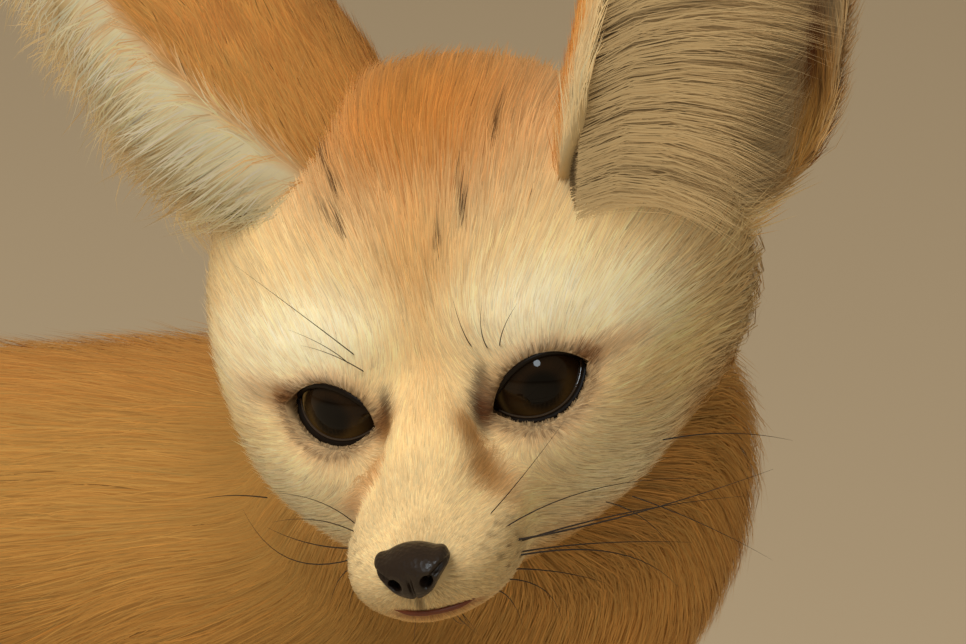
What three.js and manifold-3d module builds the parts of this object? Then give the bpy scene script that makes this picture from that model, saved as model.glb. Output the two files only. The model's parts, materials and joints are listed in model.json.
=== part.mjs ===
// A life-size fennec fox that stands still, its head turned to its right.
// Millimetres, +Z up. The chest faces -Y and the fox's left side faces +X.
import * as THREE from "three";
import { mergeVertices } from "three/addons/utils/BufferGeometryUtils.js";
import Module from "manifold-3d";

const wasm = await Module();
wasm.setup();

const V = (x = 0, y = 0, z = 0) => new THREE.Vector3(x, y, z);
const radians = THREE.MathUtils.degToRad;

// Driving sizes of the animal, out to the tips of its coat.
const spineHeight = 144;
const chestHalf = 42;
const eyeHeight = 206;
const earLength = 104;
const earHalf = 21;
const tailBush = 25;
const legSpread = 25;
const foreStand = -72;
const hindStand = 98;
const wristHeight = 24;

// How far the pads are pressed flat where they stand.
const sink = 1.4;

// The head's place, which is the point midway between the eyes, and its turn from straight ahead.
const headPlace = V(-72, -130, eyeHeight);
const headTurn = { yaw: -72, nod: 11, tilt: -10.5 };

// The gap kept between nodes that touch, and how deep a lock's root is sunk.
const gap = 0.3;
const rootDepth = 3.5;

// The share of a form's sections that the core under its long coat takes, and how far the tips
// of shorter locks stand out from a form.
const tailCore = 0.62;
const neckCore = 0.87;
const stand = { cheek: 4, trunk: 4, thigh: 4 };

// Rows of locks. Each row starts at a share of its form's run, or of the ear's height.
const tailRows = { first: 0.82, last: 0.21, count: 7, round: 7 };
const neckRows = [
  { start: 0.86, round: 9, long: 26, turn: 0 },
  { start: 0.66, round: 9, long: 30, turn: 0.5 },
  { start: 0.47, round: 9, long: 32, turn: 0 },
];
const bellyRows = [
  { start: 0.9, count: 4, spread: 90 },
  { start: 0.6, count: 4, spread: 70 },
  { start: 0.46, count: 5, spread: 70 },
  { start: 0.33, count: 4, spread: 70 },
];
const thighRows = [
  { start: 0.16, count: 3, spread: 68 },
  { start: 0.3, count: 3, spread: 68 },
];
const cheekRows = [
  { start: 0.64, count: 4, top: -4, bottom: -50 },
  { start: 0.52, count: 5, top: 6, bottom: -62 },
  { start: 0.4, count: 5, top: 4, bottom: -66 },
];
const fringeRow = { first: 0.13, last: 0.76, count: 11 };

// The direction that the animal looks in, which the trunk's and the head's sections face.
const ahead = V(0, -1, 0);

// Coat colours.
const buff = 0xd2a468;
const cream = 0xe8d8b4;
const dark = 0x2b211c;

// Closed solids

// A closed three.js geometry as a solid that can be cut and joined.
function solid(geometry) {
  const bare = geometry.clone();
  bare.deleteAttribute("normal");
  bare.deleteAttribute("uv");
  const merged = mergeVertices(bare, 1e-4);
  return new wasm.Manifold(
    new wasm.Mesh({
      numProp: 3,
      vertProperties: merged.attributes.position.array,
      triVerts: new Uint32Array(merged.index.array),
    }),
  );
}

// Only the largest closed body, so that a scrap left by a cut is dropped.
function largest(body) {
  return body.decompose().sort((a, b) => b.volume() - a.volume())[0];
}

// Many solids as one.
const fuse = (bodies) => bodies.reduce((all, one) => all.add(one));

// A solid as a named mesh with its own finish.
function node(name, body, color, roughness = 0.85) {
  const cut = body.getMesh();
  const geometry = new THREE.BufferGeometry();
  geometry.setAttribute("position", new THREE.BufferAttribute(cut.vertProperties, 3));
  geometry.setIndex(new THREE.BufferAttribute(cut.triVerts, 1));
  geometry.computeVertexNormals();
  const finish = new THREE.MeshStandardMaterial({ color, roughness, metalness: 0 });
  const mesh = new THREE.Mesh(geometry, finish);
  mesh.name = name;
  return mesh;
}

// Every vertex of a geometry moved by a function of its old place.
function mapped(geometry, move) {
  const place = geometry.attributes.position;
  for (let i = 0; i < place.count; i++) {
    const p = move(V().fromBufferAttribute(place, i));
    place.setXYZ(i, p.x, p.y, p.z);
  }
  return geometry;
}

// A frame from an origin and two directions: across is kept square to along.
function basis(origin, along, across) {
  const z = along.clone().normalize();
  const x = across.clone().addScaledVector(z, -across.dot(z)).normalize();
  const y = z.clone().cross(x);
  return new THREE.Matrix4().makeBasis(x, y, z).setPosition(origin);
}

// One cross-section of a lofted form: its centre, its half-width, and its reach above and below.
const ring = (x, y, z, half, above, below = above) => ({
  centre: V(x, y, z),
  reach: V(half, above, below),
});

// A form that runs through a row of rings, rounded at both ends. Its sections are square to its
// run, or all to one direction where facing gives it. Above is the cross product of run and side.
class Form {
  constructor(rings, { side = V(1, 0, 0), round = 3, facing = null } = {}) {
    this.centres = new THREE.CatmullRomCurve3(rings.map((r) => r.centre));
    this.reaches = new THREE.CatmullRomCurve3(rings.map((r) => r.reach));
    this.side = side;
    this.round = round;
    this.facing = facing;
  }

  // The point at share s of the run and angle a round it, with its outward and forward directions.
  at(s, a, grow = 0, share = 1) {
    const run = this.facing ?? this.centres.getTangent(s);
    const x = this.side.clone().addScaledVector(run, -this.side.dot(run)).normalize();
    const up = run.clone().cross(x);
    const reach = this.reaches.getPoint(s).multiplyScalar(share);
    const end = 2 * s - 1;
    const cap = Math.sqrt(Math.max(0, 1 - Math.abs(end) ** (2 * this.round)));
    const tall = Math.sin(a) > 0 ? reach.y : reach.z;
    const out = x.clone().multiplyScalar(Math.cos(a) * tall);
    out.addScaledVector(up, Math.sin(a) * reach.x).normalize();
    out.multiplyScalar(cap).addScaledVector(run, Math.sign(end) * Math.sqrt(1 - cap * cap));
    const point = this.centres.getPoint(s);
    point.addScaledVector(x, Math.cos(a) * reach.x * cap);
    point.addScaledVector(up, Math.sin(a) * tall * cap);
    point.addScaledVector(out, grow);
    return { point, out, run };
  }

  // A point moved out of this form, by at least room, where its sections all face ahead.
  pushedOut(point, room) {
    let [low, high] = [0, 1];
    for (let i = 0; i < 20; i++) {
      const middle = (low + high) / 2;
      if (this.centres.getPoint(middle).y > point.y) low = middle;
      else high = middle;
    }
    if (low === 0 || high === 1) return point;
    const centre = this.centres.getPoint(low);
    const reach = this.reaches.getPoint(low);
    const cap = Math.sqrt(1 - Math.abs(2 * low - 1) ** (2 * this.round));
    const tall = point.z > centre.z ? reach.y : reach.z;
    const x = (point.x - centre.x) / (reach.x * cap + room);
    const z = (point.z - centre.z) / (tall * cap + room);
    const share = Math.hypot(x, z);
    if (share >= 1) return point;
    return V(
      centre.x + (point.x - centre.x) / share,
      point.y,
      centre.z + (point.z - centre.z) / share,
    );
  }

  // The whole form as a solid, swollen by grow and drawn in to a share of its sections.
  solid(around, along, grow = 0, share = 1) {
    const ball = new THREE.SphereGeometry(1, around, along);
    const shaped = mapped(ball, (p) =>
      this.at((1 - p.y) / 2, Math.atan2(p.z, p.x), grow, share).point,
    );
    return solid(shaped);
  }
}

// Locks of the coat

// A draw between two values that is the same on every run.
let seed = 7;
function draw(low, high) {
  seed = (seed * 16807) % 2147483647;
  return THREE.MathUtils.lerp(low, high, seed / 2147483647);
}

// A flat lock along a path: path(k) gives its middle and its outward direction at share k, and
// it is broadest past its root and ends in a point. Grow swells it, most of all at its sharp edges.
function lock(path, { half, thick, steps = 3, grow = 0 }) {
  const shape = mapped(new THREE.ConeGeometry(1, 1, 4, steps), (p) => {
    const k = p.y + 0.5;
    const taper = k < 1 ? 1 / (1 - k) : 0;
    const { point, out } = path(k);
    const run = path(k + 0.02).point.sub(path(k - 0.02).point).normalize();
    const across = run.clone().cross(out).normalize();
    const swell = (0.72 + 0.9 * k) * (1 - k ** 1.7);
    if (k === 1) point.addScaledVector(path(1).point.sub(path(0.67).point).normalize(), 4 * grow);
    point.addScaledVector(across, p.x * taper * (half * swell + 2 * grow));
    return point.addScaledVector(out, p.z * taper * (thick * (1 - 0.6 * k) + 1.3 * grow));
  });
  return solid(shape);
}

// The path of a lock over a form whose core has a share of its sections, from share s and angle
// a: it runs long millimetres along the lie, which is 1 with the form's run or -1 against it,
// turns by drift, and rises from within the core to its full height above the form.
function lie(form, s, a, { long, height = 0, core = 1, way = -1, drift = 0 }) {
  const step = (way * long) / form.centres.getLength();
  const root = (core - 1) * form.reaches.getPoint(s).x - rootDepth;
  return (k) => {
    const lift = 1 - Math.max(0, 1 - k) ** 1.8;
    const place = THREE.MathUtils.clamp(s + step * k, 0.001, 0.999);
    return form.at(place, a + drift * k, THREE.MathUtils.lerp(root, height, lift));
  };
}

// The same path, bent clear of a form whose sections all face ahead.
function bentClear(path, form, room) {
  return (k) => {
    const { point, out } = path(k);
    return { point: k > 0.25 ? form.pushedOut(point, room) : point, out };
  };
}

// Trunk, neck and tail

const trunk = new Form(
  [
    ring(0, 118, spineHeight - 4, 18, 18, 20),
    ring(0, 102, spineHeight - 2, 32, 33, 34),
    ring(0, 74, spineHeight, 38, 40, 37),
    ring(0, 36, spineHeight, chestHalf - 4, 42, 34),
    ring(0, -4, spineHeight, chestHalf - 2, 44, 37),
    ring(0, -44, spineHeight, chestHalf, 50, 42),
    ring(0, -80, spineHeight + 3, chestHalf + 1, 51, 44),
    ring(0, -106, spineHeight + 6, 36, 42, 38),
    ring(0, -126, spineHeight + 8, 22, 26, 24),
  ],
  { facing: ahead },
);

const neck = new Form(
  [
    ring(0, -58, 150, 36, 34, 36),
    ring(0, -80, 164, 38, 34, 50),
    ring(-9, -99, 181, 39, 31, 55),
    ring(-21, -111, 197, 39, 26, 52),
    ring(-33, -118, 211, 30, 18, 37),
  ],
  { round: 2 },
);

const tail = new Form(
  [
    ring(0, 292, 60, 8, 8, 8),
    ring(0, 268, 52, tailBush - 5, tailBush - 5, tailBush - 5),
    ring(0, 236, 57, tailBush, tailBush, tailBush),
    ring(0, 204, 74, tailBush, tailBush, tailBush),
    ring(0, 172, 100, tailBush - 3, tailBush - 3, tailBush - 3),
    ring(0, 144, 130, tailBush - 7, tailBush - 7, tailBush - 7),
    ring(0, 112, 150, tailBush - 10, tailBush - 10, tailBush - 10),
  ],
  { round: 4 },
);

// The tail's bush: rows of locks that lie towards its tip, each row set between the last.
function tailLocks() {
  const { first, last, count, round } = tailRows;
  const locks = [];
  for (let row = 0; row < count; row++) {
    const s = THREE.MathUtils.lerp(first, last, row / (count - 1));
    for (let i = 0; i < round; i++) {
      const a = ((i + (row % 2) / 2 + draw(-0.15, 0.15)) / round) * 2 * Math.PI;
      const path = lie(tail, s + draw(-0.015, 0.015), a, {
        long: draw(37, 41),
        height: draw(-1.2, 0.4),
        core: tailCore,
        drift: draw(-0.15, 0.15),
      });
      locks.push(lock(path, { half: draw(6.5, 8), thick: 1.6 }));
    }
  }
  return locks;
}

// The neck's ruff: rows of locks that lie from the head to the shoulders and over the chest.
function neckLocks() {
  const locks = [];
  for (const { start, round, long, turn } of neckRows) {
    for (let i = 0; i < round; i++) {
      const a = ((i + turn + draw(-0.15, 0.15)) / round) * 2 * Math.PI;
      const path = lie(neck, start, a, {
        long: long + draw(-3, 3),
        height: draw(-0.5, 1),
        core: neckCore,
        drift: draw(-0.15, 0.15),
      });
      locks.push(lock(bentClear(path, trunk, 2.6), { half: draw(8, 9.5), thick: 1.5 }));
    }
  }
  return locks;
}

// The longer hair under the chest and belly, which lies back and down.
function trunkLocks(grow = 0) {
  const before = seed;
  seed = 31;
  const locks = [];
  for (const { start, count, spread } of bellyRows) {
    for (let i = 0; i < count; i++) {
      const a = radians(-90 + spread * ((i + 0.5) / count - 0.5) + draw(-4, 4));
      const path = lie(trunk, start + draw(-0.01, 0.01), a, {
        long: draw(26, 32),
        height: stand.trunk * draw(0.9, 1.2),
        drift: draw(-0.1, 0.1),
      });
      locks.push(lock(path, { half: draw(6.5, 8), thick: 1.5, grow }));
    }
  }
  seed = before;
  return locks;
}

// The breeches: locks down the back of a thigh.
function thighLocks(form) {
  const locks = [];
  for (const { start, count, spread } of thighRows) {
    for (let i = 0; i < count; i++) {
      const a = radians(-90 + spread * (i / (count - 1) - 0.5) + draw(-5, 5));
      const path = lie(form, start, a, {
        long: draw(24, 30),
        height: stand.thigh * draw(0.9, 1.2),
        way: 1,
        drift: draw(-0.1, 0.1),
      });
      locks.push(lock(path, { half: draw(5.5, 7), thick: 1.4 }));
    }
  }
  return locks;
}

// Legs and paws

const foreLeg = (mirror) =>
  new Form(
    [
      ring(mirror * 20, -66, 158, 16, 24, 24),
      ring(mirror * 27, -66, 132, 17, 24, 24),
      ring(mirror * 29, -62, 108, 13, 17, 18),
      ring(mirror * (legSpread + 1), -66, 82, 10, 11, 12),
      ring(mirror * legSpread, foreStand, 50, 8, 8, 8.5),
      ring(mirror * legSpread, foreStand - 2, 22, 8, 8, 8.5),
      ring(mirror * legSpread, foreStand - 4, 8, 7, 7, 7),
    ],
    { round: 4 },
  );

const hindLeg = (mirror) =>
  new Form(
    [
      ring(mirror * 20, 84, 160, 20, 28, 24),
      ring(mirror * 28, 78, 134, 19, 32, 28),
      ring(mirror * 31, 70, 106, 16, 22, 24),
      ring(mirror * 29, 88, 82, 12, 14, 14),
      ring(mirror * 27, 110, 58, 8.5, 9, 10),
      ring(mirror * (legSpread + 1), 110, 34, 7.5, 8, 8),
      ring(mirror * (legSpread + 1), 106, 18, 8, 8, 8),
      ring(mirror * (legSpread + 1), 102, 7, 7, 6, 6),
    ],
    { round: 4 },
  );

// A paw whose heel is below the wrist, with four toes and their claws.
function paw(x, y) {
  const pad = new Form([
    ring(x, y + 11, 9, 6, 7, 8 + sink),
    ring(x, y + 3, 11, 9, 10, 11 + sink),
    ring(x, y - 8, 9, 10.5, 8, 9 + sink),
    ring(x, y - 18, 7, 9, 5, 7 + sink),
  ]);
  const ankle = new Form(
    [ring(x, y + 3, 30, 8, 8, 8), ring(x, y + 2, 18, 8, 8, 8.5), ring(x, y, 8, 7, 7, 7)],
    { round: 4 },
  );
  const pieces = [pad.solid(8, 5), ankle.solid(8, 3)];
  for (const spot of [-1.5, -0.5, 0.5, 1.5]) {
    const inner = Math.abs(spot) < 1;
    const toeX = x + spot * 5.2;
    const toeY = y - (inner ? 22 : 17);
    const toe = new Form([
      ring(x + spot * 4, toeY + 10, 8, 3.6, 4, 5 + sink),
      ring(toeX, toeY, 6, 3.6, 4.6, 6 + sink),
      ring(toeX, toeY - 5, 4.6, 2.6, 3, 4.5 + sink),
    ]);
    const claw = new Form([
      ring(toeX, toeY - 3, 6, 1.2, 1.2),
      ring(toeX, toeY - 7.5, 5.2, 1, 1),
      ring(toeX, toeY - 10.5, 2.6, 0.5, 0.5),
    ]);
    pieces.push(toe.solid(5, 4), claw.solid(3, 3));
  }
  return fuse(pieces);
}

// A wide slab between two heights, for the cuts at the floor and at the wrist.
const slab = (low, high) =>
  solid(new THREE.BoxGeometry(900, 900, high - low).translate(0, 0, (low + high) / 2));
const underFloor = slab(-200, 0);

// Head, in its own frame: the origin is midway between the eyes, and it looks along -Y.

const cranium = new Form(
  [
    ring(0, 58, 0, 20, 20, 20),
    ring(0, 48, 4, 35, 32, 33),
    ring(0, 36, 7, 41, 36, 39),
    ring(0, 24, 5, 41.5, 35, 38),
    ring(0, 13, 2, 38.5, 29, 35),
    ring(0, 5, -2, 33, 21, 29),
    ring(0, -1, -6, 26, 12, 23),
    ring(0, -7, -9, 18.5, 7, 17),
    ring(0, -12, -11, 11, 4, 10),
  ],
  { round: 5, facing: ahead },
);

const bridge = new Form(
  [
    ring(0, 20, 8, 13, 20, 20),
    ring(0, 8, 4, 10, 9, 10),
    ring(0, 0, 0, 8.7, 6.6, 10),
    ring(0, -8, -4, 8.2, 6, 9),
    ring(0, -16, -7, 7.8, 5, 8),
    ring(0, -24, -9.5, 7.2, 4, 7),
    ring(0, -32, -11, 6, 3.5, 6),
  ],
  { round: 5, facing: ahead },
);

const muzzle = new Form(
  [
    ring(0, 10, -12, 20, 10, 18),
    ring(0, 0, -12, 16, 8.5, 16),
    ring(0, -10, -13, 14, 8.5, 13.5),
    ring(0, -20, -13.8, 13.6, 8, 11),
    ring(0, -27, -14.2, 11.6, 6.8, 8.6),
    ring(0, -31.5, -14.4, 8.5, 5.8, 6.9),
    ring(0, -35, -14.4, 5.5, 4.5, 5.2),
  ],
  { round: 5, facing: ahead },
);

const eyeRadius = 9;
const eyePlace = V(13.1, 7.2, 0);
const eyeGaze = { out: 20, up: 3 };
const eyeSlant = 15;
const lidThick = 1.6;
const eyeOpening = { half: 7.7, above: 5, below: 4.8 };

// The frame of one eye: its third axis is the gaze, its second is up, and its first runs
// from the inner corner to the outer on the left eye and the other way on the right.
function eyeFrame(mirror) {
  const out = radians(eyeGaze.out);
  const up = radians(eyeGaze.up);
  const gaze = V(mirror * Math.sin(out), -Math.cos(out), Math.sin(up));
  const slant = radians(eyeSlant);
  const across = V(Math.cos(slant) * Math.cos(out), mirror * Math.sin(out), mirror * Math.sin(slant));
  return basis(V(mirror * eyePlace.x, eyePlace.y, eyePlace.z), gaze, across);
}

const eyeBall = (mirror, radius, around = 12, along = 9) =>
  solid(new THREE.SphereGeometry(radius, around, along).applyMatrix4(eyeFrame(mirror)));

// The almond-shaped way out in front of one eye, whose inner corner is drawn to a point.
function eyeWindow(mirror) {
  const { half, above, below } = eyeOpening;
  const side = mirror * half;
  const almond = new THREE.Shape();
  almond.moveTo(-side, 0);
  almond.bezierCurveTo(-side * 0.55, above * 1.15, side * 0.45, above * 1.5, side, 0);
  almond.bezierCurveTo(side * 0.55, -below * 1.35, -side * 0.55, -below * 1.25, -side, 0);
  const block = new THREE.ExtrudeGeometry(almond, {
    depth: 24,
    bevelEnabled: false,
    curveSegments: 5,
  });
  return solid(block.applyMatrix4(eyeFrame(mirror)));
}

// Nose pad with its nostrils
const noseTip = V(0, -37, -11);
const noseHalf = 5.6;

function nosePad(grow = 0) {
  const pad = new Form(
    [
      ring(0, noseTip.y + 8, noseTip.z, 4.4, 3.4, 3.6),
      ring(0, noseTip.y + 4, noseTip.z + 0.3, noseHalf, 4, 4),
      ring(0, noseTip.y + 1, noseTip.z, noseHalf - 0.6, 3.6, 3.9),
      ring(0, noseTip.y - 1, noseTip.z - 0.4, 3.4, 2.4, 2.6),
    ],
    { round: 2, facing: ahead },
  );
  return pad.solid(14, 9, grow);
}

function nostrils() {
  const holes = [-1, 1].map((mirror) => {
    const hole = new Form(
      [
        ring(mirror * 5.4, noseTip.y + 3, noseTip.z + 0.6, 0.5, 0.7),
        ring(mirror * 4, noseTip.y + 1, noseTip.z - 0.6, 0.8, 1),
        ring(mirror * 2.3, noseTip.y - 0.6, noseTip.z - 0.8, 1.1, 1.3),
        ring(mirror * 2, noseTip.y - 3, noseTip.z - 0.8, 1.1, 1.3),
      ],
      { side: V(0, 0, 1) },
    );
    return hole.solid(7, 5);
  });
  const cleft = new THREE.BoxGeometry(0.6, 3, 4).translate(0, noseTip.y - 0.6, noseTip.z - 3.4);
  return fuse([...holes, solid(cleft)]);
}

// The line of the mouth: a thin sheet that follows the lips round the muzzle and dips in front.
const mouth = { height: -18, front: -37, corner: -4, rise: 2.2, line: 0.7, lip: 3.2 };

function mouthSheet(thick) {
  const length = mouth.corner - mouth.front;
  const sheet = new THREE.BoxGeometry(60, length, thick, 1, 7, 1);
  return solid(
    mapped(sheet, (p) => {
      const back = p.y / length + 0.5;
      const dip = mouth.rise * Math.sin(back * Math.PI);
      return V(p.x, p.y + (mouth.front + mouth.corner) / 2, p.z + mouth.height - dip);
    }),
  );
}

// The cheek ruff: rows of locks on both sides that lie back and down over the neck.
function cheekLocks(grow) {
  const before = seed;
  seed = 11;
  const locks = [];
  for (const { start, count, top, bottom } of cheekRows) {
    for (let i = 0; i < count; i++) {
      const below = THREE.MathUtils.lerp(top, bottom, i / (count - 1));
      for (const mirror of [1, -1]) {
        const a = mirror > 0 ? radians(below) : radians(180 - below);
        const path = lie(cranium, start + draw(-0.015, 0.015), a + draw(-0.06, 0.06), {
          long: draw(19, 24),
          height: stand.cheek * draw(0.8, 1.3),
          drift: -mirror * draw(0.05, 0.2),
        });
        locks.push(lock(path, { half: draw(5, 6.2), thick: 1.3, grow }));
      }
    }
  }
  seed = before;
  return locks;
}

function headSolid(grow = 0) {
  const lips = mouthSheet(mouth.lip).intersect(muzzle.solid(16, 10, grow + 0.5));
  const lidBalls = [-1, 1].map((mirror) => eyeBall(mirror, eyeRadius + lidThick + grow, 12, 8));
  return fuse([
    cranium.solid(22, 15, grow),
    bridge.solid(10, 8, grow),
    muzzle.solid(16, 10, grow),
    lips,
    ...lidBalls,
    ...cheekLocks(grow),
  ]);
}

function headNode() {
  const groove = mouthSheet(mouth.line).subtract(muzzle.solid(16, 10, -1.5));
  const eyes = [-1, 1].flatMap((mirror) => [
    eyeBall(mirror, eyeRadius + gap),
    eyeWindow(mirror),
  ]);
  return largest(headSolid().subtract(fuse([groove, nosePad(gap), ...eyes])));
}

// Ears

const earSizes = {
  halves: [0.78, 0.93, 1, 1, 0.97, 0.87, 0.68, 0.42, 0.1],
  wraps: [200, 190, 180, 168, 153, 136, 118, 102, 85],
};
const ears = {
  left: { mirror: 1, base: V(28, 28, 12), lean: 23, back: 12, open: 40 },
  right: { mirror: -1, base: V(-11, 34, 24), lean: 31, back: 8, open: 108 },
};

// A named size at share t along a row of evenly spaced values.
function along(values, t) {
  const at = Math.min(values.length - 1.001, Math.max(0, t * (values.length - 1)));
  const low = Math.floor(at);
  return THREE.MathUtils.lerp(values[low], values[low + 1], at - low);
}

// The frame of one ear: its third axis runs up to the tip, and it opens against its second.
function earFrame({ mirror, base, lean, back, open }) {
  const up = V(mirror * Math.tan(radians(lean)), Math.tan(radians(back)), 1);
  const turn = radians(open);
  const facing = V(mirror * Math.sin(turn), -Math.cos(turn), 0);
  const across = facing.clone().cross(V(0, 0, 1)).negate();
  return basis(base, up, across);
}

// The point of an ear at u across (-1 to 1), t up (0 to 1) and depth towards its back.
function earPoint(u, t, depth) {
  const half = earHalf * along(earSizes.halves, t);
  const wrap = radians(along(earSizes.wraps, t) / 2);
  const radius = half / Math.sin(Math.min(wrap, Math.PI / 2));
  const turn = u * wrap;
  const r = radius + depth;
  return V(r * Math.sin(turn), r * Math.cos(turn) - radius * 0.6, t * earLength);
}

// The fringe: locks from inside the front margin, which sweep up and over the mouth of the cup.
function fringeLocks(ear) {
  const { first, last, count } = fringeRow;
  const locks = [];
  for (let i = 0; i < count; i++) {
    const share = i / (count - 1);
    const root = earPoint(-ear.mirror * 0.9, THREE.MathUtils.lerp(first, last, share), 0);
    const long = THREE.MathUtils.lerp(24, 13, share) * draw(0.9, 1.1);
    const turn = radians(draw(32, 46));
    const heading = V(ear.mirror * Math.cos(turn), -Math.sin(turn), draw(0.35, 0.6)).normalize();
    const out = V(ear.mirror * Math.sin(turn), Math.cos(turn), 0);
    const path = (k) => {
      const point = root.clone().addScaledVector(heading, long * k);
      return { point: point.addScaledVector(out, long * 0.25 * k * k), out };
    };
    locks.push(lock(path, { half: draw(4.6, 5.8), thick: 0.8, steps: 2 }));
  }
  return locks;
}

function earSolid(ear) {
  const sheet = new THREE.BoxGeometry(2, 1, 1, 8, 9, 1);
  const cup = mapped(sheet, (p) => {
    const t = p.y + 0.5;
    return earPoint(p.x, t, -p.z * THREE.MathUtils.lerp(3.4, 1.8, t));
  });
  return fuse([solid(cup), ...fringeLocks(ear)]).transform(earFrame(ear).toArray());
}

// Assembly

const fox = new THREE.Group();

const trunkCore = (grow = 0) => trunk.solid(18, 14, grow);
const trunkRoom = fuse([trunkCore(gap), ...trunkLocks(gap)]);

const headGroup = new THREE.Group();
headGroup.position.copy(headPlace);
headGroup.rotation.set(
  radians(headTurn.nod),
  radians(headTurn.tilt),
  radians(headTurn.yaw),
  "ZXY",
);
headGroup.updateMatrix();
const inWorld = (body) => body.transform(headGroup.matrix.toArray());

const headRoom = headSolid(gap);
headGroup.add(node("head", headNode(), cream));
headGroup.add(node("nose", largest(nosePad().subtract(nostrils())), dark, 0.35));
for (const [side, mirror] of [["left", 1], ["right", -1]]) {
  headGroup.add(node("eye_" + side, eyeBall(mirror, eyeRadius), dark, 0.05));
  const cup = earSolid(ears[side]).subtract(headRoom);
  headGroup.add(node("ear_" + side, largest(cup), cream));
}
fox.add(headGroup);

fox.add(node("torso", largest(fuse([trunkCore(), ...trunkLocks()])), buff));
const throat = fuse([neck.solid(18, 10, 0, neckCore), ...neckLocks()]);
fox.add(node("neck", largest(throat.subtract(trunkRoom).subtract(inWorld(headRoom))), buff));
const brush = fuse([tail.solid(10, 12, 0, tailCore), ...tailLocks()]);
fox.add(node("tail", largest(brush.subtract(trunkRoom)), buff));

for (const [side, mirror] of [["left", 1], ["right", -1]]) {
  const limbs = [
    ["fore", foreLeg(mirror), mirror * legSpread, foreStand - 4],
    ["hind", hindLeg(mirror), mirror * (legSpread + 1), hindStand + 8],
  ];
  for (const [which, form, x, y] of limbs) {
    const locks = which === "hind" ? thighLocks(form) : [];
    const leg = fuse([form.solid(12, 14), ...locks]).subtract(trunkRoom);
    const above = leg.subtract(slab(-200, wristHeight + gap));
    const foot = paw(x, y).subtract(underFloor).subtract(slab(wristHeight, 200));
    fox.add(node("leg_" + which + "_" + side, largest(above), buff));
    fox.add(node("paw_" + which + "_" + side, largest(foot), cream));
  }
}

// The origin is on the floor, in the middle of the whole animal's box.
const box = new THREE.Box3().setFromObject(fox, true);
const middle = box.getCenter(V());
fox.position.set(-middle.x, -middle.y, -box.min.z);

export default fox;
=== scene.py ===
"""The looks of a life-size fennec fox that stands still with its head turned to its right.

Sizes are millimetres in the frame of the solids before they were centred, with +Z up, the chest
towards -Y and the fox's left side towards +X. The head has a frame of its own: its origin is
midway between the eyes and it looks along -Y. Meshes are brought to metres when they are done.
"""

from __future__ import annotations

import json
import logging
import math
from dataclasses import dataclass, field
from enum import Enum, auto
from typing import Iterable, Sequence

import bmesh
import bpy
import numpy as np
from mathutils import Matrix, Vector
from mathutils.kdtree import KDTree

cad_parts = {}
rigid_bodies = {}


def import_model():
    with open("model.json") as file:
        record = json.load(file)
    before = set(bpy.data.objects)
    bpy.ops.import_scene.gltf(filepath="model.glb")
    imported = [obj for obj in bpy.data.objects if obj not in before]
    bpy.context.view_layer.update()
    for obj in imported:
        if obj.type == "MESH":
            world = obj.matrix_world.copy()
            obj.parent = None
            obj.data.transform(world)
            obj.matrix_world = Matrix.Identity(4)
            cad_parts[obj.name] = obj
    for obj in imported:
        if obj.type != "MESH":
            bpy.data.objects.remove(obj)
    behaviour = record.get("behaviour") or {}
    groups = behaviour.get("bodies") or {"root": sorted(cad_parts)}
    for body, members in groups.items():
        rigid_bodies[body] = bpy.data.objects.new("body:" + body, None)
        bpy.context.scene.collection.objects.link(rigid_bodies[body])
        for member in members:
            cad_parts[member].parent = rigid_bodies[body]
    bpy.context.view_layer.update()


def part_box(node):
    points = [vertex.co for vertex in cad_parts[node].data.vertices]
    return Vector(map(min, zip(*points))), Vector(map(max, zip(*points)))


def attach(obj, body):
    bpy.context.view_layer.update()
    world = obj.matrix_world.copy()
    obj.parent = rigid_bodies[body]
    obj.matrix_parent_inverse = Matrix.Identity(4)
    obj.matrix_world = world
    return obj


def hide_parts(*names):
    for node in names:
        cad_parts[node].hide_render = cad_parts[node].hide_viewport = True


log = logging.getLogger("fennec")

Array = np.ndarray
Triple = tuple[float, float, float]
Piece = bpy.types.Object
Mesh = bpy.types.Mesh
BMesh = bmesh.types.BMesh
Material = bpy.types.Material

METRE = 0.001
SEED = 20

# Driving sizes of the animal
SPINE_HEIGHT = 144.0
CHEST_HALF = 42.0
TAIL_BUSH = 25.0
LEG_SPREAD = 25.0
FORE_STAND = -72.0
HIND_STAND = 98.0
EYE_PLACE = (13.1, 7.2, 0.0)
EYE_RADIUS = 9.0
EAR_LENGTH = 104.0
EAR_HALF = 21.0
HEAD_PLACE = (-72.0, -130.0, 206.0)
HEAD_TURN = {"yaw": -72.0, "nod": 11.0, "tilt": -10.5}
NOSE_TIP = (0.0, -37.0, -11.0)
NOSE_HALF = 5.6

AHEAD = (0.0, -1.0, 0.0)


class Region(Enum):
    """A stretch of the body whose coat grows one way."""

    FACE = auto()
    NECK = auto()
    TORSO = auto()
    TAIL = auto()
    LEG = auto()
    PAW = auto()
    EAR_BACK = auto()
    EAR_INSIDE = auto()


def smooth_step(low: float, high: float, value: Array) -> Array:
    """A smooth rise from 0 at low to 1 at high."""
    share = np.clip((value - low) / (high - low), 0.0, 1.0)
    return share * share * (3.0 - 2.0 * share)


def unit(vectors: Array) -> Array:
    """The rows of an array as unit vectors."""
    length = np.linalg.norm(vectors, axis=-1, keepdims=True)
    return vectors / np.maximum(length, 1e-9)


def dot(a: Array, b: Array) -> Array:
    """The row by row dot product, kept as a column."""
    return np.sum(a * b, axis=-1, keepdims=True)


def square_axes(across: Array, last: Array) -> Array:
    """Three unit axes as columns: across made square to the last, their cross product, the last."""
    last = last / np.linalg.norm(last)
    across = across - last * (across @ last)
    across = across / np.linalg.norm(across)
    return np.column_stack([across, np.cross(last, across), last])


def blend(rows: Array, other: Array, share: Array) -> Array:
    """The rows mixed towards others by one share for each row."""
    part = share[:, None]
    return rows * (1 - part) + other * part


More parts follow.
